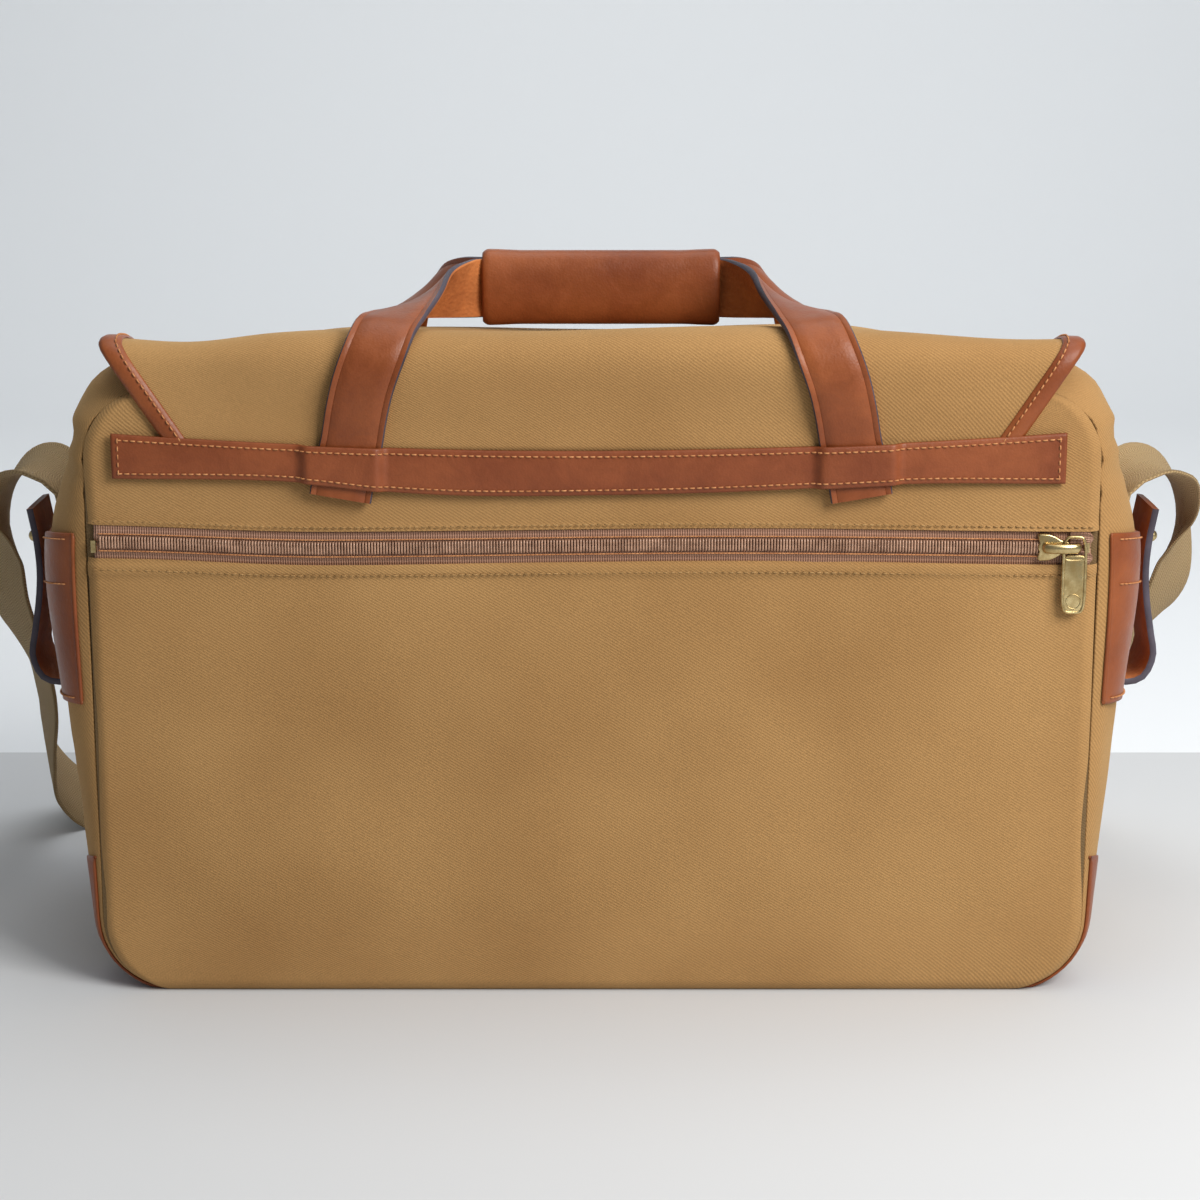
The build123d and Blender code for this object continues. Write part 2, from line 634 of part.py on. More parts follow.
# ---- Shoulder strap: webbing from the left tongue, out, down and behind the bag to the right one.
left_fall = (
    ((-256.0, 0.0, 216.6), (0, 1, 0)),
    ((-256.3, 0.0, 220.5), (0.1, 1, -0.15)),
    ((-262.5, 4.0, 226.0), (0.45, 0.86, -0.25)),
    ((-274.5, 15.0, 229.5), (0.7, 0.68, 0.02)),
    ((-287.0, 32.0, 225.0), (0.58, 0.66, 0.46)),
    ((-297.5, 50.0, 210.5), (0.12, 0.78, 0.6)),
    ((-303.0, 60.0, 186.0), (-0.25, 0.9, 0.33)),
    ((-305.0, 63.0, 158.0), (-0.38, 0.92, 0.1)),
    ((-299.0, 74.0, 130.0), (-0.3, 0.9, 0.35)),
    ((-295.0, 98.0, 100.0), (-0.09, 0.77, 0.63)),
    ((-303.0, 126.0, 66.0), (0.16, 0.79, 0.6)),
    ((-304.0, 150.0, 34.0), (0.12, 0.78, 0.62)),
    ((-290.0, 168.0, 11.0), (-0.2, 0.87, 0.4)),
    ((-262.0, 178.0, 1.4), (0, 1, 0)),
)
floor_run = (
    ((-150.0, 182.0, 1.4), (0, 1, 0)),
    ((0.0, 184.0, 1.4), (0, 1, 0)),
    ((140.0, 180.0, 1.4), (0, 1, 0)),
    ((228.0, 176.0, 1.4), (0, 1, 0)),
)
right_fall = (
    ((252.0, 168.0, 11.0), (0.2, 0.88, 0.4)),
    ((260.0, 150.0, 38.0), (-0.06, 0.81, 0.59)),
    ((266.0, 122.0, 76.0), (0, 0.78, 0.63)),
    ((276.0, 92.0, 110.0), (0.2, 0.8, 0.55)),
    ((288.0, 70.0, 136.0), (0.38, 0.86, 0.35)),
    ((300.0, 63.0, 160.0), (0.38, 0.92, 0.1)),
    ((303.0, 60.0, 186.0), (0.25, 0.9, 0.33)),
    ((297.5, 50.0, 210.5), (-0.12, 0.78, 0.6)),
    ((287.0, 32.0, 225.0), (-0.58, 0.66, 0.46)),
    ((274.5, 15.0, 229.5), (-0.7, 0.68, 0.02)),
    ((262.5, 4.0, 226.0), (-0.45, 0.86, -0.25)),
    ((256.3, 0.0, 220.5), (-0.1, 1, -0.15)),
    ((256.0, 0.0, 216.6), (0, 1, 0)),
)
save(ribbon(left_fall + floor_run + right_fall, WEBBING_WIDTH, WEBBING_THICK), "shoulder_strap")
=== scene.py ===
import math

import bpy
import numpy as np
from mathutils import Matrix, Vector, noise


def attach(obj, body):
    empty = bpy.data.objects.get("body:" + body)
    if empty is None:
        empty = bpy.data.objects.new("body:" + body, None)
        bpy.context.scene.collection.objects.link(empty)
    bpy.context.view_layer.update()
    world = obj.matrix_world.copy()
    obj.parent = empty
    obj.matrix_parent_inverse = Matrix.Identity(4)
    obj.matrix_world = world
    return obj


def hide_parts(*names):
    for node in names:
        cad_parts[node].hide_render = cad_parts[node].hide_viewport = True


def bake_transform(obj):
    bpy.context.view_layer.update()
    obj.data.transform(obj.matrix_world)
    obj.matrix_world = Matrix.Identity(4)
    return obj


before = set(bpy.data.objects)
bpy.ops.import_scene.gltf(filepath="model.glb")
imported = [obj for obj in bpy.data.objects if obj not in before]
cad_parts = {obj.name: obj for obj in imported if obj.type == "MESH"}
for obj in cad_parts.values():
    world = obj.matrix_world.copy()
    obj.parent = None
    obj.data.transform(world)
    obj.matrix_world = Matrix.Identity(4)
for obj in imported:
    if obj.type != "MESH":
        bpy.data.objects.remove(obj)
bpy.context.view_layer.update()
scene = bpy.context.scene
MM = 0.001


# ---- Camera, studio light and floor.
# The bag stands with its zip pocket to the camera, on a pale floor with a pale wall far behind it.
# A large soft window lights it from the right, and the rest of the room only fills the shade.
camera = bpy.data.objects.new("camera", bpy.data.cameras.new("camera"))
camera.location = (0.0035, -1.280, 0.4618)
camera.rotation_euler = (math.radians(77.0), 0.0, 0.0)
camera.data.lens = 79.5
camera.data.sensor_width = 36.0
scene.collection.objects.link(camera)
scene.camera = camera
scene.view_settings.view_transform = "Standard"


def add_light(name, place, aim, size, watts, colour):
    """A soft square lamp at a place, turned towards the point that it lights."""
    lamp = bpy.data.objects.new(name, bpy.data.lights.new(name, "AREA"))
    lamp.data.size = size
    lamp.data.energy = watts
    lamp.data.color = colour
    lamp.location = place
    lamp.rotation_euler = (Vector(aim) - Vector(place)).to_track_quat("-Z", "Y").to_euler()
    scene.collection.objects.link(lamp)


add_light("window", (0.80, -0.88, 0.95), (0.02, 0, 0.10), 0.7, 19.5, (1.0, 0.985, 0.96))
add_light("overhead", (0.3, -0.2, 2.2), (0, 0, 0.1), 1.6, 14, (0.96, 0.98, 1.0))
add_light("wall_wash", (0.2, 0.75, 2.0), (0, 2.2, 0.8), 2.0, 17, (1.0, 0.99, 0.97))
world = bpy.data.worlds.new("room")
world.use_nodes = True
room_light = world.node_tree.nodes["Background"]
room_light.inputs["Color"].default_value = (0.80, 0.88, 0.95, 1)
room_light.inputs["Strength"].default_value = 0.27
scene.world = world


def node(tree, kind, **inputs):
    """A node in a tree. A named input gets a value, or the socket that feeds it."""
    made = tree.nodes.new(kind)
    for name, value in inputs.items():
        socket = made.inputs[int(name[1:])] if name[0] == "_" else made.inputs[name.replace("_", " ")]
        if isinstance(value, bpy.types.NodeSocket):
            tree.links.new(value, socket)
        else:
            socket.default_value = value
    return made


def math_node(tree, operation, a, b=0.0):
    made = node(tree, "ShaderNodeMath", _0=a, _1=b)
    made.operation = operation
    return made.outputs[0]


def mix_colour(tree, mask, a, b, blend="MIX"):
    made = tree.nodes.new("ShaderNodeMix")
    made.data_type = "RGBA"
    made.blend_type = blend
    for socket, value in ((made.inputs[0], mask), (made.inputs[6], a), (made.inputs[7], b)):
        if isinstance(value, bpy.types.NodeSocket):
            tree.links.new(value, socket)
        else:
            socket.default_value = value
    return made.outputs[2]


def finish_material(name):
    """A new material and its Principled shader."""
    material = bpy.data.materials.new(name)
    material.use_nodes = True
    return material, material.node_tree, material.node_tree.nodes["Principled BSDF"]


def spread(tree, value, low, high, to_low=0.0, to_high=1.0):
    """The value's range from low to high, carried over to another range."""
    return node(tree, "ShaderNodeMapRange", _0=value, _1=low, _2=high, _3=to_low, _4=to_high).outputs[0]


def add_bump(tree, shader, height, strength, distance):
    bump = node(tree, "ShaderNodeBump", Height=height, Strength=strength, Distance=distance)
    tree.links.new(bump.outputs["Normal"], shader.inputs["Normal"])


def uv_place(tree):
    """The place on a piece's UV map, across and along it in metres."""
    return node(tree, "ShaderNodeSeparateXYZ", Vector=node(tree, "ShaderNodeTexCoord").outputs["UV"])


def wave(tree, value, length):
    """A sine wave of a value, which repeats at each length."""
    return math_node(tree, "SINE", math_node(tree, "MULTIPLY", value, 2 * math.pi / length))


def rgb(red, green, blue):
    """A colour from 0 to 255 as it looks, in the linear values that a shader takes."""
    return tuple((v / 255) ** 2.2 for v in (red, green, blue)) + (1.0,)


def skin(name, rows, material, facing, thick=0.0, around=False, closed=False):
    """A smooth sheet through rows of points, with a UV map in metres, whose front looks along facing.
    around joins each row into a ring, and closed caps the first and last rings."""
    rows = np.asarray(rows, float)
    down, across = rows.shape[:2]
    index = np.arange(down * across).reshape(down, across)
    if around:
        index = np.hstack([index, index[:, :1]])
    faces = np.stack([index[:-1, :-1], index[:-1, 1:], index[1:, 1:], index[1:, :-1]], -1).reshape(-1, 4)
    faces = faces.tolist()
    if closed:
        faces += [index[0, :across][::-1].tolist(), index[-1, :across].tolist()]
    mesh = bpy.data.meshes.new(name)
    mesh.from_pydata(rows.reshape(-1, 3).tolist(), [], faces)
    mesh.update()
    if facing is not None:
        normal = sum((p.normal * p.area for p in mesh.polygons), Vector())
        if normal.dot(Vector(facing)) < 0:
            mesh.flip_normals()
    wide = np.linalg.norm(np.diff(rows, axis=1), axis=2).mean(0)
    long = np.linalg.norm(np.diff(rows, axis=0), axis=2).mean(1)
    u = np.concatenate([[0], np.cumsum(wide)])
    v = np.concatenate([[0], np.cumsum(long)])
    uv = mesh.uv_layers.new(name="UVMap")
    for loop in mesh.loops:
        r, c = divmod(loop.vertex_index, across)
        uv.data[loop.index].uv = (u[c], v[r])
    mesh.materials.append(material)
    mesh.shade_smooth()
    piece = bpy.data.objects.new(name, mesh)
    scene.collection.objects.link(piece)
    if thick:
        wall = piece.modifiers.new("wall", "SOLIDIFY")
        wall.thickness = thick
        wall.offset = -1
        wall.use_even_offset = False
    return piece


plaster, tree, shader = finish_material("studio_white")
shader.inputs["Base Color"].default_value = rgb(205, 206, 207)
shader.inputs["Roughness"].default_value = 0.9
mottle = node(tree, "ShaderNodeTexNoise", Scale=60.0, Detail=4.0)
add_bump(tree, shader, mottle.outputs["Fac"], 0.15, 0.001)
painted_light_line, cove_start, cove = 0.300, 1.6, 0.6
sweep = [(-2.6, 0.0), (painted_light_line, 0.0), (painted_light_line + 0.001, 0.0), (cove_start, 0.0)]
for turn in np.linspace(0.1, math.pi / 2, 12):
    sweep.append((cove_start + cove * math.sin(turn), cove - cove * math.cos(turn)))
sweep.append((cove_start + cove, 2.6))
backdrop = skin("backdrop", [[(x, y, z) for y, z in sweep] for x in (-3.5, 3.5)], plaster, (0, -1, 1))
# From the line 0.30 m behind the middle, the floor and the wall take a lighter copy of the same plaster:
# painted light, for a brightly lit wall.
backdrop_painted_light = plaster.copy()
backdrop_painted_light.node_tree.nodes["Principled BSDF"].inputs["Base Color"].default_value = rgb(236, 238, 240)
backdrop.data.materials.append(backdrop_painted_light)
for polygon in backdrop.data.polygons:
    polygon.material_index = int(polygon.center.y > painted_light_line)


# ---- Cloth, leather and thread.
# The canvas is a cotton twill: fine diagonal ribs, a little faded unevenness and a soft nap.
# The leather is oiled hide with a satin face, a rough orange flesh side and painted edges.
def effect(name, inputs, outputs):
    """An empty shader node group with named inputs and outputs."""
    group = bpy.data.node_groups.new(name, "ShaderNodeTree")
    for socket, value in inputs.items():
        made = group.interface.new_socket(socket, in_out="INPUT", socket_type="NodeSocketFloat")
        made.default_value = value
    for socket in outputs:
        group.interface.new_socket(socket, in_out="OUTPUT", socket_type="NodeSocketFloat")
    return group, group.nodes.new("NodeGroupInput"), group.nodes.new("NodeGroupOutput")


def place_effect(tree, group, **values):
    made = tree.nodes.new("ShaderNodeGroup")
    made.node_tree = group
    for name, value in values.items():
        made.inputs[name.replace("_", " ")].default_value = value
    return made


def twill_group():
    """Diagonal ribs crossed by a fine thread, and the cloth's slow fading."""
    group, given, out = effect(
        "twill_weave", {"Rib pitch": 0.0013, "Slope": 0.62}, ("Rib", "Fleck", "Fade")
    )
    place = uv_place(group)
    u, v = place.outputs["X"], place.outputs["Y"]
    wander = node(group, "ShaderNodeTexNoise", Scale=220.0, Detail=2.0)
    group.links.new(node(group, "ShaderNodeTexCoord").outputs["UV"], wander.inputs["Vector"])
    along = math_node(group, "ADD", math_node(group, "MULTIPLY", u, given.outputs["Slope"]), v)
    along = math_node(group, "ADD", along, math_node(group, "MULTIPLY", wander.outputs["Fac"], 0.0004))
    rib = math_node(group, "DIVIDE", along, given.outputs["Rib pitch"])
    rib = math_node(group, "SINE", math_node(group, "MULTIPLY", rib, 2 * math.pi))
    thread = wave(group, math_node(group, "SUBTRACT", u, v), 0.0008)
    rib = math_node(group, "ADD", rib, math_node(group, "MULTIPLY", thread, 0.45))
    group.links.new(math_node(group, "MULTIPLY", rib, 0.5), out.inputs["Rib"])
    for scale, detail, name in ((1500.0, 3.0, "Fleck"), (9.0, 5.0, "Fade")):
        cloud = node(group, "ShaderNodeTexNoise", Scale=scale, Detail=detail)
        group.links.new(node(group, "ShaderNodeTexCoord").outputs["Object"], cloud.inputs["Vector"])
        group.links.new(cloud.outputs["Fac"], out.inputs[name])
    return group


twill = twill_group()


def canvas_finish(name, light, dark, rib_pitch=0.0013):
    material, tree, shader = finish_material(name)
    weave = place_effect(tree, twill, Rib_pitch=rib_pitch)
    base = mix_colour(tree, spread(tree, weave.outputs["Fade"], 0.3, 0.7), dark, light)
    fleck = spread(tree, weave.outputs["Fleck"], 0.35, 0.7, 0.90, 1.08)
    base = mix_colour(tree, 1.0, base, fleck, "MULTIPLY")
    shade = spread(tree, weave.outputs["Rib"], -0.7, 0.7, 0.78, 1.08)
    base = mix_colour(tree, 1.0, base, shade, "MULTIPLY")
    tree.links.new(base, shader.inputs["Base Color"])
    nap = math_node(tree, "MULTIPLY", weave.outputs["Fleck"], 1.4)
    add_bump(tree, shader, math_node(tree, "ADD", weave.outputs["Rib"], nap), 0.55, 0.00018)
    shader.inputs["Roughness"].default_value = 0.88
    shader.inputs["Specular IOR Level"].default_value = 0.22
    shader.inputs["Sheen Weight"].default_value = 0.25
    shader.inputs["Sheen Roughness"].default_value = 0.5
    shader.inputs["Sheen Tint"].default_value = rgb(235, 205, 150)
    return material


canvas = canvas_finish("khaki_twill", rgb(181, 139, 89), rgb(162, 121, 75), 0.0014)
# A darker copy of the twill for the rear wall, which lies inside the pocket behind the panels: painted shade.
pocket_shade_canvas = canvas_finish("pocket_shade_twill", rgb(120, 96, 66), rgb(104, 82, 55))


def hide_group():
    """Pores, pull-up clouds and handling creases of vegetable-tanned hide."""
    group, given, out = effect("hide_grain", {"Pores": 900.0}, ("Grain", "Cloud", "Crease"))
    place = node(group, "ShaderNodeTexCoord").outputs["Object"]
    pores = node(group, "ShaderNodeTexVoronoi", Vector=place)
    group.links.new(given.outputs["Pores"], pores.inputs["Scale"])
    fine = node(group, "ShaderNodeTexNoise", Vector=place, Scale=420.0, Detail=4.0)
    fine_height = math_node(group, "MULTIPLY", fine.outputs["Fac"], 1.5)
    grain = math_node(group, "ADD", pores.outputs["Distance"], fine_height)
    group.links.new(grain, out.inputs["Grain"])
    cloud = node(group, "ShaderNodeTexNoise", Vector=place, Scale=22.0, Detail=5.0, Roughness=0.6)
    group.links.new(cloud.outputs["Fac"], out.inputs["Cloud"])
    crease = node(
        group, "ShaderNodeTexNoise",
        Vector=place, Scale=70.0, Detail=6.0, Roughness=0.7, Distortion=1.2,
    )
    group.links.new(crease.outputs["Fac"], out.inputs["Crease"])
    return group


hide = hide_group()


def leather_finish(name, light, dark, roughness, pores=900.0, depth=0.00012, coat=0.06):
    material, tree, shader = finish_material(name)
    grain = place_effect(tree, hide, Pores=pores)
    base = mix_colour(tree, spread(tree, grain.outputs["Cloud"], 0.32, 0.7), dark, light)
    worn = spread(tree, grain.outputs["Crease"], 0.4, 0.68, 0.93, 1.09)
    base = mix_colour(tree, 1.0, base, worn, "MULTIPLY")
    tree.links.new(base, shader.inputs["Base Color"])
    gloss = spread(tree, grain.outputs["Crease"], 0.3, 0.7, roughness - 0.06, roughness + 0.1)
    tree.links.new(gloss, shader.inputs["Roughness"])
    creases = math_node(tree, "MULTIPLY", grain.outputs["Crease"], 2.5)
    add_bump(tree, shader, math_node(tree, "ADD", grain.outputs["Grain"], creases), 0.5, depth)
    shader.inputs["Specular IOR Level"].default_value = 0.32
    shader.inputs["Coat Weight"].default_value = coat
    shader.inputs["Coat Roughness"].default_value = 0.35
    return material


tan_hide = leather_finish("tan_hide", rgb(148, 82, 45), rgb(122, 62, 32), 0.40)
red_hide = leather_finish("strip_hide", rgb(144, 79, 46), rgb(118, 60, 34), 0.42)
flesh_side = leather_finish("hide_flesh_side", rgb(200, 122, 68), rgb(150, 84, 44), 0.85, 500.0, 0.0005, 0.0)
# The edges' colour is dark edge paint, lifted to grey-blue by a painted sheen.
edge_paint_and_sheen = leather_finish("painted_edge_and_sheen", rgb(88, 82, 92), rgb(58, 52, 60), 0.5, 600.0, 0.0001)


def plain_finish(name, colour, other, roughness, metallic=0.0, scale=180.0, depth=0.0001):
    """A finish whose colour drifts between two tones, such as thread, nylon or worn metal."""
    material, tree, shader = finish_material(name)
    place = node(tree, "ShaderNodeTexCoord").outputs["Object"]
    cloud = node(tree, "ShaderNodeTexNoise", Vector=place, Scale=scale, Detail=5.0, Roughness=0.65)
    tone = spread(tree, cloud.outputs["Fac"], 0.35, 0.65)
    tree.links.new(mix_colour(tree, tone, other, colour), shader.inputs["Base Color"])
    gloss = spread(tree, cloud.outputs["Fac"], 0.3, 0.7, roughness + 0.1, roughness - 0.08)
    tree.links.new(gloss, shader.inputs["Roughness"])
    add_bump(tree, shader, cloud.outputs["Fac"], 0.4, depth)
    shader.inputs["Metallic"].default_value = metallic
    return material


def woven_finish(name, pattern, dark, light, low, high, strength, depth, roughness):
    """A woven finish, raised by a pattern that a function draws on the UV map, and coloured darker where the
    pattern is low as painted shade in the weave's hollows.
    """
    material, tree, shader = finish_material(name)
    height = pattern(tree, uv_place(tree))
    # The colour runs from dark in the weave's low parts to light on its raised parts: painted shade in the
    # hollows.
    base = mix_colour(tree, spread(tree, height, low, high), dark, light)
    tree.links.new(base, shader.inputs["Base Color"])
    add_bump(tree, shader, height, strength, depth)
    shader.inputs["Roughness"].default_value = roughness
    return material


def tape_ribs(tree, place):
    """Close ribs along the tape and a weaker weft across it."""
    weft = math_node(tree, "MULTIPLY", wave(tree, place.outputs["Y"], 0.0016), 0.35)
    return math_node(tree, "ADD", wave(tree, place.outputs["X"], 0.0011), weft)


def web_chevrons(tree, place):
    """Ribs that zigzag across the webbing, and its warp threads."""
    across = math_node(tree, "PINGPONG", place.outputs["X"], 0.0035)
    slant = math_node(tree, "ADD", place.outputs["Y"], math_node(tree, "MULTIPLY", across, 0.8))
    warp = math_node(tree, "MULTIPLY", wave(tree, place.outputs["X"], 0.0012), 0.5)
    return math_node(tree, "ADD", wave(tree, slant, 0.0016), warp)


brass = plain_finish("antique_brass", rgb(208, 186, 136), rgb(172, 146, 98), 0.30, 1.0, 260.0, 0.00002)
tan_thread = plain_finish("tan_thread", rgb(200, 138, 88), rgb(168, 106, 62), 0.7)
khaki_thread = plain_finish("khaki_thread", rgb(176, 138, 88), rgb(140, 106, 62), 0.8)
nylon = plain_finish("nylon_coil", rgb(190, 150, 124), rgb(146, 110, 88), 0.25)
board = plain_finish("stiffener_board", rgb(70, 66, 62), rgb(52, 50, 48), 0.7)
tape_finish = woven_finish(
    "ribbed_tape", tape_ribs, rgb(124, 86, 66), rgb(184, 138, 112), -1.2, 1.2, 0.8, 0.0002, 0.55
)
web_finish = woven_finish(
    "woven_webbing", web_chevrons, rgb(136, 110, 74), rgb(184, 156, 112), -1.3, 1.3, 0.7, 0.0003, 0.85
)


def through(knots, values):
    """A smooth curve through values at rising knots, as a function of a number or an array."""
    knots, values = np.array(knots, float), np.array(values, float)
    slopes = np.gradient(values, knots, axis=0)

    def curve(at):
        at = np.clip(np.asarray(at, float), knots[0], knots[-1])
        k = np.clip(np.searchsorted(knots, at, side="right") - 1, 0, len(knots) - 2)
        step = knots[k + 1] - knots[k]
        t = (at - knots[k]) / step
        if values.ndim == 2:
            t, step = t[..., None], step[..., None]
        near = (1 + 2 * t) * (1 - t) ** 2 * values[k] + t * (1 - t) ** 2 * step * slopes[k]
        return near + t * t * (3 - 2 * t) * values[k + 1] - t * t * (1 - t) * step * slopes[k + 1]

    return curve


def ramp(x, low, high):
    """0 below low, 1 above high and a soft step between."""
    t = np.clip((np.asarray(x, float) - low) / (high - low), 0, 1)
    return t * t * (3 - 2 * t)


def soft_noise(points, size, seed):
    """Slow noise about zero at each point, for the give of cloth."""
    flat = np.asarray(points, float).reshape(-1, 3)
    start = Vector((seed, 2.3 * seed, -seed))
    made = [noise.noise(Vector(p) / size + start) for p in flat]
    return np.array(made).reshape(np.asarray(points).shape[:-1])


def refinish(name, material):
    """Gives a CAD node its finish, and leaves its shape and place alone."""
    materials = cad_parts[name].data.materials
    materials.clear()
    materials.append(material)


def settle(piece, body, slot, *nodes):
    """The calls that give a finished piece its body and hide the CAD nodes that it stands for. The slot is not
    used.
    """
    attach(piece, body)
    if nodes:
        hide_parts(*nodes)
    return piece


# ---- Stitching and other things that repeat along a line.
# A row is a line of points, each with the direction that faces out of the cloth there.
# A stitch is a short thread that dips into the material at both ends.
def repeat_tree():
    """Geometry nodes: copies of a unit along a line, at a pitch, standing on the line's up direction."""
    tree = bpy.data.node_groups.new("repeat_along_line", "GeometryNodeTree")
    face = tree.interface
    face.new_socket("Geometry", in_out="INPUT", socket_type="NodeSocketGeometry")
    for name, kind in (("Unit", "Object"), ("Pitch", "Float"), ("Finish", "Material")):
        face.new_socket(name, in_out="INPUT", socket_type="NodeSocket" + kind)
    face.new_socket("Geometry", in_out="OUTPUT", socket_type="NodeSocketGeometry")
    given, out = tree.nodes.new("NodeGroupInput"), tree.nodes.new("NodeGroupOutput")
    line = node(tree, "GeometryNodeMeshToCurve", Mesh=given.outputs["Geometry"])
    spaced = node(tree, "GeometryNodeResampleCurve", Curve=line.outputs[0], _3=given.outputs["Pitch"])
    spaced.mode = "LENGTH"
    up = tree.nodes.new("GeometryNodeInputNamedAttribute")
    up.data_type = "FLOAT_VECTOR"
    up.inputs["Name"].default_value = "up"
    ahead = tree.nodes.new("GeometryNodeInputTangent")
    first = node(tree, "FunctionNodeAlignRotationToVector", Vector=ahead.outputs[0])
    first.axis = "X"
    second = node(tree, "FunctionNodeAlignRotationToVector", Rotation=first.outputs[0], Vector=up.outputs[0])
    second.axis, second.pivot_axis = "Z", "X"
    unit = node(tree, "GeometryNodeObjectInfo", Object=given.outputs["Unit"])
    copies = node(
        tree, "GeometryNodeInstanceOnPoints",
        Points=spaced.outputs[0], Instance=unit.outputs["Geometry"], Rotation=second.outputs[0],
    )
    real = node(tree, "GeometryNodeRealizeInstances", Geometry=copies.outputs[0])
    finish = node(tree, "GeometryNodeSetMaterial", Geometry=real.outputs[0], Material=given.outputs["Finish"])
    tree.links.new(finish.outputs[0], out.inputs[0])
    return tree


repeat_line = repeat_tree()


def tube_rows(line, radius, sides=6):
    """Rings of points round a line, closed to a point at both ends."""
    line = np.asarray(line, float)
    ahead = np.gradient(line, axis=0)
    ahead /= np.linalg.norm(ahead, axis=1)[:, None]
    side = np.cross(ahead, (0.12, 0.31, 0.94))
    side /= np.linalg.norm(side, axis=1)[:, None]
    other = np.cross(ahead, side)
    radius = np.broadcast_to(radius, len(line))[:, None, None]
    turn = np.linspace(0, 2 * math.pi, sides, endpoint=False)[None, :, None]
    return line[:, None] + radius * (np.cos(turn) * side[:, None] + np.sin(turn) * other[:, None])


def unit_piece(name, line, radius, sides=6):
    """A small tube that is copied many times, kept out of the scene's view."""
    made = skin(name, tube_rows(line, radius, sides), canvas, None, around=True, closed=True)
    made.hide_render = True
    return made


def stitch_unit(name, length, thread):
    """One stitch: a thread that rises out of the cloth and goes back in."""
    t = np.linspace(-1, 1, 7)
    line = np.stack([t * length / 2, 0 * t, thread * (0.75 - 1.3 * t**4)], 1)
    return unit_piece(name, line, thread / 2 * np.array([0.7, 1, 1, 1, 1, 1, 0.7]))


long_stitch = stitch_unit("long_stitch", 0.0023, 0.00075)
short_stitch = stitch_unit("short_stitch", 0.0022, 0.00062)


def along_lines(name, rows, unit, pitch, material, body, slot):
    """Copies of a unit along rows, each a list of points and a list of outward directions."""
    mesh = bpy.data.meshes.new(name)
    points, edges, ups = [], [], []
    for line, up in rows:
        line = np.asarray(line, float)
        start = len(points)
        points += line.tolist()
        ups += np.broadcast_to(np.asarray(up, float), line.shape).tolist()
        edges += [(start + k, start + k + 1) for k in range(len(line) - 1)]
    mesh.from_pydata(points, edges, [])
    mesh.attributes.new("up", "FLOAT_VECTOR", "POINT").data.foreach_set("vector", np.array(ups).ravel())
    carrier = bpy.data.objects.new(name + "_line", mesh)
    scene.collection.objects.link(carrier)
    copy = carrier.modifiers.new("copies", "NODES")
    copy.node_group = repeat_line
    sockets = {s.name: s.identifier for s in repeat_line.interface.items_tree if s.in_out == "INPUT"}
    copy[sockets["Unit"]] = unit
    copy[sockets["Pitch"]] = pitch
    copy[sockets["Finish"]] = material
    bpy.context.view_layer.update()
    ready = carrier.evaluated_get(bpy.context.evaluated_depsgraph_get())
    made = bpy.data.meshes.new_from_object(ready)
    made.name = name
    made.shade_smooth()
    piece = bpy.data.objects.new(name, made)
    scene.collection.objects.link(piece)
    bpy.data.objects.remove(carrier)
    return settle(piece, body, slot)


# ---- Gussets and base: one long strip of padded canvas that runs round the bag's sides and foot.
# Its sides puff out between the seams, most at three quarters of the height, and it has a rounded
# foot and shoulder. The seam allowance is turned in at both panels.
half_width, half_depth = 0.230, 0.097
foot_radius, neck_radius = 0.035, 0.032
puff = 0.025
mouth_x = 0.199
rear_height, front_height = 0.286, 0.248
padded, single = 0.003, 0.0018  # the tub's padded canvas and the pocket's single one
tub_height = through(
    (-half_depth, -0.0795, 0, 0.0795, half_depth),
    (rear_height, 0.292, 0.285, 0.268, front_height),
)


def stand_at(y):
    """How far the gusset stands out past the seams at a depth."""
    return puff * (1 - np.abs(np.asarray(y) / 0.0985) ** 5) ** 0.62


def side_x(y, z):
    """The gusset's outer face, as a distance from the bag's middle, at a depth and a height."""
    height, stand = float(tub_height(y)), float(stand_at(y))
    knots = (foot_radius, height * 0.46, height * 0.74, height - neck_radius)
    shares = np.array((0.35, 0.8, 1.0, 0.5))
    return through(knots, half_width + stand * shares)(z)


def tub_line(y, lift=0.0):
    """The strip's section at a depth, from the base's middle up the right side to the mouth."""
    height, stand = float(tub_height(y)), float(stand_at(y))
    foot, neck = half_width + 0.35 * stand + lift, half_width + 0.5 * stand + lift
    low, high = -lift, height + lift
    radius, top_radius = foot_radius + lift, neck_radius + lift
    turn = np.linspace(0, math.pi / 2, 11)
    z = np.linspace(low + radius, high - top_radius, 44)[1:-1]
    x = side_x(y, np.clip(z, foot_radius, height - neck_radius)) + lift
    base_x = np.linspace(0, foot - radius, 30)[:-1]
    parts = (
        np.stack([base_x, 0 * base_x + low], 1),
        np.stack([foot - radius + radius * np.sin(turn), low + radius - radius * np.cos(turn)], 1),
        np.stack([x, z], 1),
        np.stack([neck - top_radius * (1 - np.cos(turn)), high - top_radius * (1 - np.sin(turn))], 1),
        np.array([[min(neck - top_radius, mouth_x + 0.006) - 0.003, high], [mouth_x - 0.004, high - 0.002]]),
    )
    section = np.concatenate(parts)
    return np.stack([section[:, 0], np.full(len(section), y), section[:, 1]], 1)


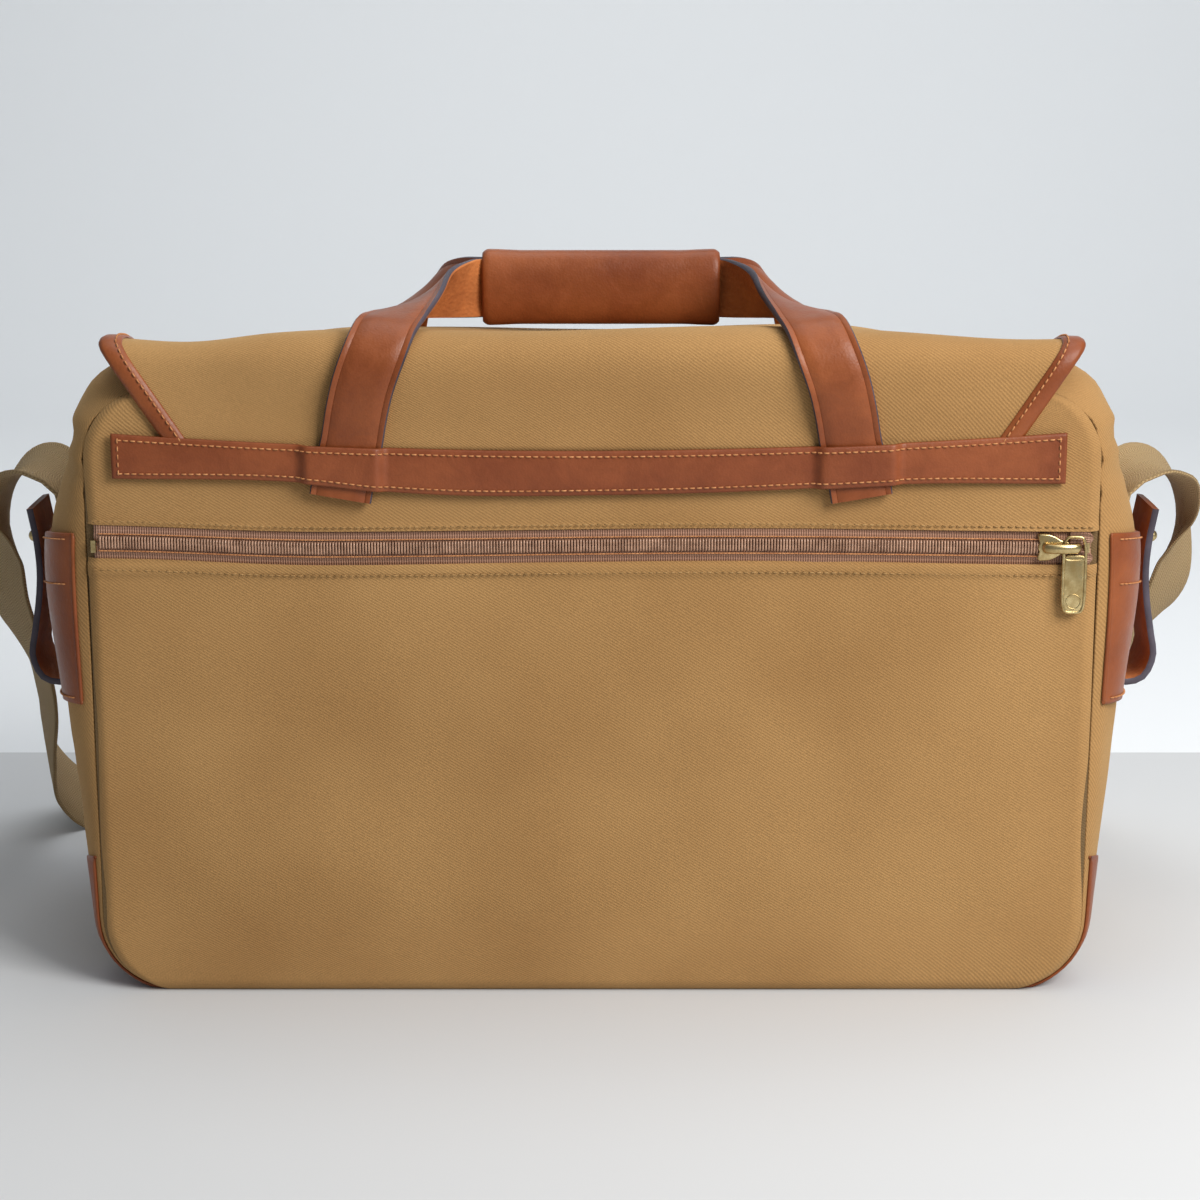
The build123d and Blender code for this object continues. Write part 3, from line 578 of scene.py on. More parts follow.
depths = 0.0984 * np.sin(np.linspace(-math.pi / 2, math.pi / 2, 61))
strip_rows = []
for y in depths:
    right = tub_line(y)
    left = right[::-1] * (-1, 1, 1)
    strip_rows.append(np.concatenate([left[:-1], right]))
strip_rows = np.array(strip_rows)
give = soft_noise(strip_rows * (1, 1, 0.5), 0.045, 3.0) * 0.0022 + soft_noise(strip_rows, 0.02, 7.0) * 0.0007
held = 1 - ramp(np.abs(strip_rows[..., 1]), 0.085, 0.0965)
gather = np.sin(strip_rows[..., 2] * 2 * math.pi / 0.016 + 2.0) * ramp(strip_rows[..., 2], 0.225, 0.25)
gather = gather * ramp(np.abs(strip_rows[..., 1]), 0.05, 0.088) * 0.0010
sides_only = ramp(np.abs(strip_rows[..., 0]), 0.20, 0.23)
give = np.minimum(give, 0.0005)
strip_rows[..., 0] += np.sign(strip_rows[..., 0]) * (give * held + gather) * sides_only
gusset_strip = skin("gusset_strip", strip_rows, canvas, (0, 0, -1), thick=padded)
settle(gusset_strip, "bag", "canvas", "left_gusset", "right_gusset", "base_panel")


# ---- Leather corners: shaped wear patches over the strip's four feet, caught in the panel seams.
foot_start, foot_end = 24, 45  # the steps of the section where a patch starts and ends
foot_middle, foot_half = (foot_start + foot_end) / 2, (foot_end - foot_start) / 2
corner_y, corner_reach = 0.0972, 0.029
for side, sign in (("left", -1), ("right", 1)):
    for end, end_y in (("rear", -corner_y), ("front", corner_y)):
        rows = []
        for share in np.linspace(0, 1, 14):
            row = []
            for place in np.linspace(foot_start, foot_end, 30):
                from_middle = abs((place - foot_middle) / foot_half)
                reach = corner_reach * math.sqrt(max(1 - from_middle**2.6, 0.0))
                y = end_y * (1 - share * reach / corner_y)
                lift = 0.0016 * min(1.0, 8 * (1 - share) + 0.15)
                line = tub_line(y, lift)
                low = int(place)
                blend = place - low
                row.append((line[low] * (1 - blend) + line[low + 1] * blend) * (sign, 1, 1))
            rows.append(row)
        rows = np.array(rows)
        rows[..., 2] = np.maximum(rows[..., 2], 0.0001)
        patch = skin(f"{side}_{end}_corner_leather", rows, tan_hide, (sign, 0, -1), thick=0.0012)
        settle(patch, "bag", "leather", f"{side}_{end}_corner")


# ---- Canvas panels: the flat back and front of the bag, cut with round corners.
# Each is sewn to the strip all round, so its edge rolls in to the seam.
def panel_rows(low, high, top, face_y, bulge, roll, seed, down=70, across=150, hang=0.0):
    """Rows of a panel's outer face from low to high, on a panel whose whole height is top."""
    outwards = -1 if face_y < 0 else 1
    share = np.sin(np.linspace(-math.pi / 2, math.pi / 2, across))
    heights = low + (high - low) * (1 - np.cos(np.linspace(0, math.pi, down))) / 2
    rows = []
    for z in heights:
        inner = half_width
        if z < foot_radius:
            inner -= foot_radius - math.sqrt(foot_radius**2 - (foot_radius - z) ** 2)
        if z > top - neck_radius:
            inner -= neck_radius - math.sqrt(max(neck_radius**2 - (z - top + neck_radius) ** 2, 0))
        x = share * inner
        from_seam = np.minimum(inner - np.abs(x), z)
        edge = roll * (1 - np.clip(from_seam / 0.006, 0, 1)) ** 2
        crown = bulge * (1 - np.abs(share) ** 6) * math.sin(math.pi * min(z / (top * 0.72), 1.0)) ** 0.7
        drop = hang * np.clip(1 - z / 0.05, 0, 1) * (0.6 + 0.4 * np.sin(x * 21.0 + seed))
        rows.append(np.stack([x, face_y + outwards * (crown - edge), z + drop], 1))
    rows = np.array(rows)
    loose = np.minimum(rows[..., 2], 0.05) / 0.05
    rows[..., 1] += outwards * soft_noise(rows, 0.07, seed) * 0.0014 * loose
    return rows


zip_z, zip_half = 0.215, 0.0078


def zip_wave(x):
    """How the zip wanders up and down across the bag."""
    return 0.0009 * np.sin(np.asarray(x) * 16.0 + 0.6) + 0.0022 * ramp(-np.asarray(x), 0.12, 0.215)


zip_low, zip_high = zip_z - zip_half, zip_z + zip_half
panel_top = rear_height - 0.0005
lower = panel_rows(0.0004, zip_low, rear_height, -0.1021, 0.0016, 0.0034, 11.0, down=90)
lower[..., 2] += zip_wave(lower[..., 0]) * ramp(lower[..., 2], 0.17, zip_low)
fold_start = ramp(lower[..., 2], zip_z - 0.0150, zip_z - 0.0122)
fold_end = ramp(lower[..., 2], zip_z - 0.0095, zip_z - 0.007)
lower[..., 1] -= 0.0011 * fold_start * (1 - fold_end)
upper = panel_rows(zip_high, panel_top, rear_height, -0.1023, 0.0, 0.0034, 12.0, down=50)
upper[..., 2] += zip_wave(upper[..., 0]) * (1 - ramp(upper[..., 2], zip_high, 0.235))
upper[..., 1] -= 0.0016 * (1 - ramp(upper[..., 2], zip_z + 0.0065, zip_z + 0.0115))
back_wall = panel_rows(0.0006, panel_top, rear_height, -0.1002, 0.0, 0.0015, 13.0, down=60)
front = panel_rows(0.0004, front_height - 0.0004, front_height, 0.1004, 0.0012, 0.0030, 14.0, down=80)
for piece_name, rows, cloth, facing, thick, cad_name in (
    ("rear_lower_canvas", lower, canvas, (0, -1, 0), single, "rear_lower_panel"),
    ("rear_upper_canvas", upper, canvas, (0, -1, 0), single, "rear_upper_panel"),
    ("rear_wall_canvas", back_wall, pocket_shade_canvas, (0, -1, 0), padded, "rear_wall"),
    ("front_panel_canvas", front, canvas, (0, 1, 0), padded, "front_panel"),
):
    settle(skin(piece_name, rows, cloth, facing, thick=thick), "bag", "canvas", cad_name)
refinish("base_stiffener", board)

x = np.linspace(-0.226, 0.226, 160)
pocket_rows = []
for z, y in ((zip_z + 0.0098, -0.1040), (zip_z - 0.0128, -0.1032)):
    pocket_rows.append((np.stack([x, 0 * x + y, z + zip_wave(x)], 1), (0, -1, 0)))
along_lines("pocket_stitches", pocket_rows, short_stitch, 0.0033, khaki_thread, "bag", "canvas")


# ---- Zip: ribbed nylon tapes behind the pocket's mouth, with a moulded coil along each.
# The coil's loops mesh on the middle line. The tape's cut ends are folded over past the slider.
tape_x = np.linspace(-0.2262, 0.2262, 200)
tape_section = (
    (0.0001, -0.1024), (0.0028, -0.1029), (0.0046, -0.1022), (0.0072, -0.1018), (0.0092, -0.1016)
)
for side, sign in (("upper", 1), ("lower", -1)):
    rows = []
    for across, y in tape_section:
        rows.append(np.stack([tape_x, 0 * tape_x + y, zip_z + sign * across + zip_wave(tape_x)], 1))
    tape = skin(f"zip_tape_{side}_cloth", rows, tape_finish, (0, -1, 0), thick=0.0008)
    settle(tape, "bag", "zip_tape", f"zip_tape_{side}")
turn = np.linspace(-0.3, math.pi + 0.3, 9)
loop = np.stack([0 * turn, 0.0016 * np.cos(turn) - 0.0004, 0.0008 * np.sin(turn) + 0.0004], 1)
coil_loop = unit_piece("coil_loop", loop, 0.00050, 5)
coil_x = np.linspace(-0.223, 0.2045, 400)
for side, sign in (("upper", 1), ("lower", -1)):
    line = np.stack([coil_x, 0 * coil_x - 0.1030, zip_z + sign * 0.0014 + zip_wave(coil_x)], 1)
    if sign < 0:
        line = line[::-1]
    rows = [(line, (0, -1, 0))]
    coil = along_lines(f"zip_coil_{side}_loops", rows, coil_loop, 0.00135, nylon, "bag", "zip_coil")
    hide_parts(f"zip_coil_{side}")
cord_rows = []
for sign in (1, -1):
    line = np.stack([coil_x, 0 * coil_x - 0.1032, zip_z + sign * 0.0039 + zip_wave(coil_x)], 1)
    cord_rows.append((line[:: -sign], (0, -1, 0)))
along_lines("zip_chain_stitches", cord_rows, short_stitch, 0.0019, tan_thread, "bag", "zip_tape")
refinish("zip_stops", brass)
fold_x, fold_y = np.linspace(0.2165, 0.2272, 14), -0.1028
for side, sign in (("upper", 1), ("lower", -1)):
    line = np.stack([fold_x, 0 * fold_x + fold_y, zip_z + sign * 0.0045 + zip_wave(fold_x)], 1)
    taper = np.sqrt(np.clip(1 - ((fold_x - fold_x[0]) / 0.0109) ** 4, 0.02, 1))
    rows = tube_rows(line, 0.0036 * taper, 14)
    rows[..., 1] = (rows[..., 1] - fold_y) * 0.42 + fold_y
    end = skin(f"zip_end_{side}", rows, tape_finish, None, around=True, closed=True)
    settle(end, "bag", "zip_tape")


# ---- Zip slider and pull: antique brass castings. The pull hangs from the slider's crown,
# with a raised rim and a round seat near its foot.
def plate(name, outline, back, front, rim, body, *nodes):
    """A cast plate: an outline in the zip's plane, thick from back to front, with rounded edges."""
    mesh = bpy.data.meshes.new(name)
    count = len(outline)
    points = [(x, back, z) for x, z in outline] + [(x, front, z) for x, z in outline]
    faces = [list(range(count)), list(range(2 * count - 1, count - 1, -1))]
    faces += [(k, k + count, (k + 1) % count + count, (k + 1) % count) for k in range(count)]
    mesh.from_pydata(points, [], faces)
    mesh.update()
    mesh.materials.append(brass)
    if mesh.polygons[1].normal.y * (front - back) < 0:
        mesh.flip_normals()
    mesh.shade_smooth()
    piece = bpy.data.objects.new(name, mesh)
    scene.collection.objects.link(piece)
    edge = piece.modifiers.new("rounded", "BEVEL")
    edge.width, edge.segments, edge.limit_method = rim, 3, "ANGLE"
    edge.angle_limit = math.radians(50)
    settle(piece, body, "brass", *nodes)
    return piece


def ring_outline(centre, radius_x, radius_z, count=40, power=2.0):
    """A closed outline: an ellipse, or with a higher power a rounded bar."""
    turn = np.linspace(0, 2 * math.pi, count, endpoint=False)
    x, z = (np.sign(v) * np.abs(v) ** (2 / power) for v in (np.cos(turn), np.sin(turn)))
    return list(zip(centre[0] + radius_x * x, centre[1] + radius_z * z))


slider_x = 0.209
half_outline = (
    (-7.0, 0.9), (-6.4, 1.8), (-7.2, 5.4), (-6.2, 6.2), (-2.0, 6.0),
    (1.0, 4.9), (3.2, 3.4), (6.4, 2.7), (7.2, 1.6),
)
slider_outline = [(slider_x + x * MM, zip_z + z * MM) for x, z in half_outline]
slider_outline += [(slider_x + x * MM, zip_z - z * MM) for x, z in reversed(half_outline)]
plate("slider_body", slider_outline, -0.1040, -0.1056, 0.0006, "slider", "zip_slider")
plate("slider_flange", slider_outline, -0.1022, -0.1040, 0.0003, "slider")
crown_turn = np.linspace(0, math.pi, 17)
crown_x = slider_x + 0.0035 - 0.0078 * np.cos(crown_turn)
crown_y = -0.1052 - 0.0040 * np.sin(crown_turn) ** 0.6
crown_line = np.stack([crown_x, crown_y, 0 * crown_turn + zip_z], 1)
crown_rows = tube_rows(crown_line, 0.0012, 12)
crown_rows[..., 2] = (crown_rows[..., 2] - zip_z) * 1.9 + zip_z
crown = skin("slider_crown", crown_rows, brass, None, around=True, closed=True)
settle(crown, "slider", "brass")

pull_x, pull_y = 0.2185, -0.10645
pull_half_length = 0.0175
pull_centre = zip_z + 0.005 - pull_half_length
rim_outline = ring_outline((pull_x, pull_centre), 0.0050, pull_half_length, 64, 5.0)
tab_outline = ring_outline((pull_x, pull_centre - 0.004), 0.0046, 0.0132, 64, 5.0)
eye_outline = [(x, z - 0.0046) for x, z in ring_outline((pull_x, zip_z - 0.0002), 0.0042, 0.0010, 24, 3.0)]
seat_outline = ring_outline((pull_x, pull_centre - 0.0124), 0.0033, 0.0033, 32)
plate("pull_tab", tab_outline, pull_y + 0.0004, pull_y - 0.0003, 0.0003, "pull", "zip_pull")


def wire(name, outline, y, radius, body):
    """A closed brass rim that follows an outline."""
    points = [(x, y, z) for x, z in outline]
    line = np.array(points + points[:2])
    rows = tube_rows(line, radius, 8)[:-1]
    return settle(skin(name, rows, brass, None, around=True), body, "brass")


wire("pull_rim", rim_outline, pull_y, 0.00078, "pull")
wire("pull_eye", eye_outline, pull_y, 0.0006, "pull")
wire("pull_seat", seat_outline, pull_y - 0.0002, 0.00035, "pull")


# ---- Rear strip: a long leather strip with two raised tunnels over the ends of the handle.
# It sags between the tunnels and is stitched along both edges and across both ends.
legs = (-0.1125, 0.1195)
strip_top = through(
    (-0.216, -0.190, -0.150, -0.110, -0.064, 0.048, 0.100, 0.150, 0.190, 0.213),
    (0.2672, 0.2655, 0.2632, 0.2615, 0.2600, 0.2600, 0.2615, 0.2636, 0.2660, 0.2676),
)
strip_low = through(
    (-0.216, -0.127, -0.091, -0.064, 0.003, 0.048, 0.107, 0.138, 0.213),
    (0.2466, 0.2445, 0.2405, 0.2390, 0.2390, 0.2400, 0.2425, 0.2440, 0.2442),
)


def strip_face(x):
    """The strip's outer face: flat on the hem, and raised over each end of the handle."""
    rise = sum(1 - ramp(np.abs(np.asarray(x) - leg), 0.0152, 0.0205) for leg in legs)
    return -0.1064 - 0.0035 * rise


strip_x = np.linspace(-0.2160, 0.2130, 330)
rolled_edge = ((0, 0.0014), (0.012, 0.0003), (0.05, 0), (0.2, -0.0002))
strip_section = rolled_edge + ((0.5, -0.0004),) + tuple((1 - a, b) for a, b in rolled_edge[::-1])
rows = []
for share, tuck in strip_section:
    z = strip_low(strip_x) * (1 - share) + strip_top(strip_x) * share
    rows.append(np.stack([strip_x, strip_face(strip_x) + tuck, z], 1))
hem_x = np.linspace(-0.190, 0.190, 60)
hem_rows = [np.stack([hem_x, 0 * hem_x - 0.1040, 0 * hem_x + z], 1) for z in (0.2470, 0.2530, 0.2585)]
settle(skin("lid_hem_cloth", hem_rows, canvas, (0, -1, 0), thick=0.0015), "bag", "canvas", "lid_hem")
rear_strip = skin("rear_strip_leather", rows, red_hide, (0, -1, 0), thick=0.0018)
settle(rear_strip, "bag", "leather", "rear_strip")
rows = []
inner = np.linspace(-0.2125, 0.2095, 200)
for edge, inset in ((strip_top, -0.0026), (strip_low, 0.0026)):
    rows.append((np.stack([inner, strip_face(inner), edge(inner) + inset], 1), (0, -1, 0)))
for x in (-0.2130, 0.2100):
    z = np.linspace(float(strip_low(x)) + 0.003, float(strip_top(x)) - 0.003, 12)
    rows.append((np.stack([0 * z + x, 0 * z + strip_face(x), z], 1), (0, -1, 0)))
along_lines("rear_strip_stitches", rows, long_stitch, 0.0032, tan_thread, "bag", "leather")


# ---- Lid: one canvas sheet over the top and down the front. It leaves the hem under the strip,
# widens to the ridge and bends there.
def rounded_path(corners, radii, step=0.004):
    """Points along a path of straight runs with rounded corners."""
    corners = [np.array(c, float) for c in corners]
    points = [corners[0]]
    for before, corner, after, radius in zip(corners, corners[1:], corners[2:], radii):
        back, on = before - corner, after - corner
        back, on = back / np.linalg.norm(back), on / np.linalg.norm(on)
        half = math.acos(np.clip(back @ on, -1, 1)) / 2
        reach = radius / math.tan(half)
        for t in np.linspace(0, 1, 12):
            near, far = corner + back * reach * (1 - t), corner + on * reach * t
            points.append(near * (1 - t) + far * t)
    points.append(corners[-1])
    points = np.array(points)
    along = np.concatenate([[0], np.cumsum(np.linalg.norm(np.diff(points, axis=0), axis=1))])
    even = np.linspace(0, along[-1], int(along[-1] / step) + 1)
    return np.stack([np.interp(even, along, points[:, k]) for k in (0, 1)], 1)


lid_corners = (
    (-0.1042, 0.2575), (-0.1042, 0.309), (0.020, 0.2998), (0.084, 0.279), (0.110, 0.252), (0.111, 0.104)
)
lid_path = rounded_path(lid_corners, (0.015, 0.060, 0.045, 0.020))
lid_along = np.gradient(lid_path, axis=0)
lid_along /= np.linalg.norm(lid_along, axis=1)[:, None]
lid_out = np.stack([-lid_along[:, 1], lid_along[:, 0]], 1)
ridge_rise = through(
    (-0.219, -0.182, -0.146, -0.114, -0.060, 0.003, 0.076, 0.118, 0.150, 0.193, 0.221),
    (-0.0005, -0.0020, 0.0014, 0.0026, 0.0040, 0.0044, 0.0034, 0.0022, 0.0014, 0.0, 0.0002),
)


lid_front_half, lid_foot, lid_corner = 0.228, 0.104, 0.030


def lid_half(y, z):
    """Half the lid's width at a place on its profile: slanted at the back, round at the front corners."""
    half = 0.1905 + 0.0300 * np.clip((z - 0.2615) / 0.0450, -0.1, 1)
    half = np.where(y > -0.097, 0.2205 + 0.0075 * ramp(y, -0.080, 0.040), half)
    drop = np.clip(lid_foot + lid_corner - z, 0, lid_corner)
    front = lid_front_half - lid_corner + np.sqrt(np.maximum(lid_corner**2 - drop**2, 0))
    return np.where(y > 0.08, np.minimum(half, front), half)


lid_halves = lid_half(lid_path[:, 0], lid_path[:, 1])


def lid_point(k, x, lift=0.0):
    """A place on the lid's outer face, or lift above it, at step k of its profile."""
    (y, z), out = lid_path[k], lid_out[k]
    ridge = math.exp(-(((y + 0.085) / 0.040) ** 2)) * float(ramp(z, 0.268, 0.303))
    rise = float(ridge_rise(x)) * ridge
    cloth = float(ramp(z, 0.262, 0.280)) if y < -0.08 else 1.0
    fold = Vector((x * 9 + z * 14, y * 9 - x * 4, z * 8))
    rise += 0.0024 * noise.noise(fold) * cloth * (1 - float(ramp(y, 0.05, 0.1)) * 0.6)
    fall = float(ramp(y, -0.090, 0.005) - ramp(y, 0.005, 0.084)) if z > 0.26 else 0.0
    rise -= 0.0120 * fall * float(ramp(abs(x), 0.11, 0.20))
    return (x, y + out[0] * (rise + lift), z + out[1] * (rise + lift))


lid_rows = []
for k, half in enumerate(lid_halves):
    x = np.linspace(-1, 1, 110) * (half - 0.0006)
    lid_rows.append([lid_point(k, float(v)) for v in x])
lid_cloth = skin("lid_canvas", lid_rows, canvas, (0, 0, 1), thick=0.0019)
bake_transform(lid_cloth)
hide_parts("lid_panel")

# The binding is folded over the lid's edge: a band outside, the fold and a band inside.
band = (
    (0.0085, 0.0003), (0.0080, 0.0013), (0.0045, 0.0015), (0.0010, 0.0013),
    (-0.0006, 0.0004), (-0.0008, -0.0012), (0.0004, -0.0029), (0.0070, -0.0031),
)
seam_inset = 0.0062
binding_start = int(np.argmax(lid_path[:, 1] > 0.2610))
binding_end = int(np.argmax((lid_path[:, 0] > 0.08) & (lid_path[:, 1] < 0.134)))
stitch_rows = []
for side, sign in (("left", -1), ("right", 1)):
    rows, seam, outs = [], [], []
    for k in range(binding_start, binding_end + 1):
        stretch = 1.0 + 0.17 * (1 - float(ramp(lid_path[k, 0], -0.104, -0.080)))
        rows.append([lid_point(k, sign * (lid_halves[k] - d * stretch), lift) for d, lift in band])
        seam.append(lid_point(k, sign * (lid_halves[k] - seam_inset * stretch), 0.0014))
        outs.append((0, lid_out[k][0], lid_out[k][1]))
    edge = skin(f"lid_edge_{side}", rows, tan_hide, (sign * 0.3, 0, 1))
    settle(edge, "lid", "leather", f"lid_binding_{side}")
    stitch_rows.append((seam, outs))
front_corners = ((lid_front_half, 0.136), (lid_front_half, lid_foot), (0.0, lid_foot))
half_front = rounded_path(front_corners, (lid_corner,), 0.004)
front_path = np.concatenate([half_front[:-1], half_front[::-1] * (-1, 1)])
inward = np.gradient(front_path, axis=0)
inward = np.stack([inward[:, 1], -inward[:, 0]], 1) / np.linalg.norm(inward, axis=1)[:, None]
rows = []
for place, turn_in in zip(front_path, inward):
    rows.append([(place[0] + turn_in[0] * d, 0.1109 + lift, place[1] + turn_in[1] * d) for d, lift in band])
front_edge = skin("lid_edge_front", rows, tan_hide, (0, 1, 0))
settle(front_edge, "lid", "leather", "lid_binding_front")
seam = front_path + inward * seam_inset
stitch_rows.append((np.stack([seam[:, 0], 0 * seam[:, 0] + 0.1123, seam[:, 1]], 1), (0, 1, 0)))
along_lines("lid_edge_stitches", stitch_rows, long_stitch, 0.0032, tan_thread, "lid", "leather")


# ---- Handle: two long leather straps meet in a rolled leather grip.
# Each strap has a grain side with a creased line inside both edges, a rough flesh side and painted edges.
def strap(name, stations, width, thick, finishes, flip=False, step=0.004, crease=0.0):
    """A band through stations, each a middle and the direction of the width. Its grain side looks along
    the width crossed with the path, or the other way with flip."""
    places = np.array([p for p, w in stations], float) * MM
    widths = np.array([w for p, w in stations], float)
    knots = np.concatenate([[0], np.cumsum(np.linalg.norm(np.diff(places, axis=0), axis=1))])
    even = np.linspace(0, knots[-1], max(int(knots[-1] / step), 8))
    line, across = through(knots, places)(even), through(knots, widths)(even)
    along = np.gradient(line, axis=0)
    along /= np.linalg.norm(along, axis=1)[:, None]
    across -= along * (along * across).sum(1)[:, None]
    across /= np.linalg.norm(across, axis=1)[:, None]
    out = np.cross(across, along) * (-1 if flip else 1)
    half, deep = width / 2, thick / 2
    grain = [(0.0006 - half, deep), (0.0024 - half, deep)]
    grain += [(0.0030 - half, deep - crease), (0.0036 - half, deep)]
    grain += [(-half * 0.4, deep + 0.0002), (half * 0.4, deep + 0.0002)] + [(-a, b) for a, b in reversed(grain)]
    flesh = [(half - 0.0005, -deep), (half * 0.3, -deep), (-half * 0.3, -deep), (-half + 0.0005, -deep)]
    right_edge = [(half, deep * 0.5), (half, -deep * 0.5)]
    ring = grain + right_edge + flesh + [(-a, b) for a, b in reversed(right_edge)]
    a, b = np.array(ring).T
    rows = line[:, None] + across[:, None] * a[None, :, None] + out[:, None] * b[None, :, None]
    rows[..., 2] = np.maximum(rows[..., 2], 0.0004)  # no lower than the floor
    made = skin(name, rows, finishes[0], None, around=True, closed=True)
    mesh = made.data
    for finish in finishes[1:]:
        mesh.materials.append(finish)
    count, first_edge, first_flesh = len(ring), len(grain) - 1, len(grain) + 1
    for k, polygon in enumerate(mesh.polygons):
        place = k % count
        if k < (len(rows) - 1) * count and place >= first_edge:
            polygon.material_index = 1 if first_flesh <= place < count - 3 else 2
    mesh.update()
    volume = sum(p.center.dot(p.normal) * p.area for p in mesh.polygons)
    if volume < 0:
        mesh.flip_normals()
    mesh.set_sharp_from_angle(angle=math.radians(50))
    return made


strap_finishes = (tan_hide, flesh_side, edge_paint_and_sheen)
rear_leg = (
    ((-117.5, -105.9, 237.8), (1, 0, 0)),
    ((-115.5, -105.9, 249), (1, 0, 0)),
    ((-112, -105.9, 262.8), (1, 0, 0)),
    ((-109.5, -108.4, 276), (1, 0, -0.12)),
    ((-106, -110.4, 290), (0.99, 0, -0.2)),
    ((-101, -109.4, 303.5), (0.97, -0.08, -0.28)),
    ((-96.5, -101.5, 314), (0.93, -0.22, -0.2)),
    ((-92, -84, 318), (0.86, -0.38, 0)),
    ((-85.5, -54, 320), (0.72, -0.46, 0.35)),
    ((-76, -26, 321.3), (0.4, -0.38, 0.82)),
    ((-66, -11.5, 321.4), (0.1, -0.25, 0.96)),
    ((-59, -4.6, 321.3), (0, 0, 1)),
    ((-45, -1.9, 321.3), (0, 0, 1)),
)
front_leg = (
    ((-114, 114.1, 102), (1, 0, 0)),
    ((-114, 114.1, 170), (1, 0, 0)),
    ((-114, 114.1, 232), (1, 0, 0)),
    ((-113, 113.1, 252), (1, 0, -0.05)),
    ((-109.5, 103, 270.5), (0.99, 0.1, -0.12)),
    ((-105, 79, 287.5), (0.95, 0.2, -0.15)),
    ((-95.5, 48, 308), (0.83, 0.42, 0.37)),
    ((-80, 24, 318.5), (0.45, 0.35, 0.82)),
    ((-67, 11, 320.8), (0.1, 0.25, 0.96)),
    ((-59, 4.6, 321.3), (0, 0, 1)),
    ((-45, 1.9, 321.3), (0, 0, 1)),
)
handle_centre = 4  # mm to the right of the bag's middle
strap_thick, crease_depth = 0.0032, 0.0004
for row, leg, flip in (("rear", rear_leg, False), ("front", front_leg, True)):
    for side, sign in (("left", 1), ("right", -1)):
        stations = [
            ((handle_centre + sign * x, y, z), (w[0], sign * w[1], sign * w[2])) for (x, y, z), w in leg
        ]
        name = f"{row}_strap_{side}"
        band_piece = strap(name, stations, 0.028, strap_thick, strap_finishes, flip, crease=crease_depth)
        if row == "rear":
            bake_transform(band_piece)
            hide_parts(f"{side}_handle_end", "rear_handle_strap")
        else:
            settle(band_piece, "lid", "leather", "front_handle_strap")

grip_low, grip_high, grip_z = -0.053, 0.061, 0.3213
grip_half_thick, grip_half_height = 0.0100, 0.01825
turn = np.linspace(0, 2 * math.pi, 72, endpoint=False)
round_y, round_z = (np.sign(v) * np.abs(v) ** 0.75 for v in (np.cos(turn), np.sin(turn)))
low_end = np.linspace(grip_low, grip_low + 0.004, 5)
high_end = np.linspace(grip_high - 0.004, grip_high, 5)
grip_rows = []
for x in np.concatenate([low_end, np.linspace(grip_low + 0.008, grip_high - 0.008, 40), high_end]):
    end = min(x - grip_low, grip_high - x)
    swell = 1 - 0.09 * (1 - min(end / 0.003, 1)) ** 2 - 0.03 * float(ramp(end, 0.003, 0.02))
    give = 1 + 0.02 * np.sin(x * 190 + 3 * turn) * float(ramp(end, 0, 0.02))
    y, z = grip_half_thick * round_y * swell * give, grip_half_height * round_z * swell
    grip_rows.append(np.stack([0 * y + x, y, grip_z + z], 1))


def grip_mouth(row, inwards):
    """The wrap's end, turned in round the straps: a rim and a ring deep inside."""
    middle = row.mean(0)
    rings = ((0.80, 0.0005), (0.76, 0.008))
    return [middle + (row - middle) * share + (inwards * deep, 0, 0) for share, deep in rings]


grip_rows = grip_mouth(grip_rows[0], 1)[::-1] + grip_rows + grip_mouth(grip_rows[-1], -1)
grip = skin("grip_wrap", grip_rows, tan_hide, None, around=True, closed=True)
settle(grip, "lid", "leather", "handle_grip")



# ---- Side patches, slings and studs. A patch crosses each gusset from seam to seam. Its top rises to a
# tongue where the webbing comes out, and its bottom sags. A sling leaves its foot and is held by a stud.
patch_low = through((-0.097, -0.06, 0, 0.06, 0.097), (0.139, 0.1345, 0.130, 0.1345, 0.139))
patch_top = through(
    (-0.097, -0.070, -0.046, -0.034, -0.017, 0), (0.220, 0.2155, 0.2112, 0.2128, 0.2150, 0.2160)
)
sling_stations = (
    ((254.4, 0, 133), (0, 1, 0)), ((261.5, 0, 129.5), (0, 1, 0)), ((269.5, 0, 131.5), (0, 1, 0)),
    ((274.5, 0, 141), (0, 1, 0)), ((272.8, 0, 156), (0, 1, 0)), ((270.5, 0, 170), (0, 1, 0)),
    ((269.3, 0, 185), (0, 1, 0)), ((270.2, 0, 200), (0, 1, 0)), ((272.8, 0, 216), (0, 1, 0)),
)
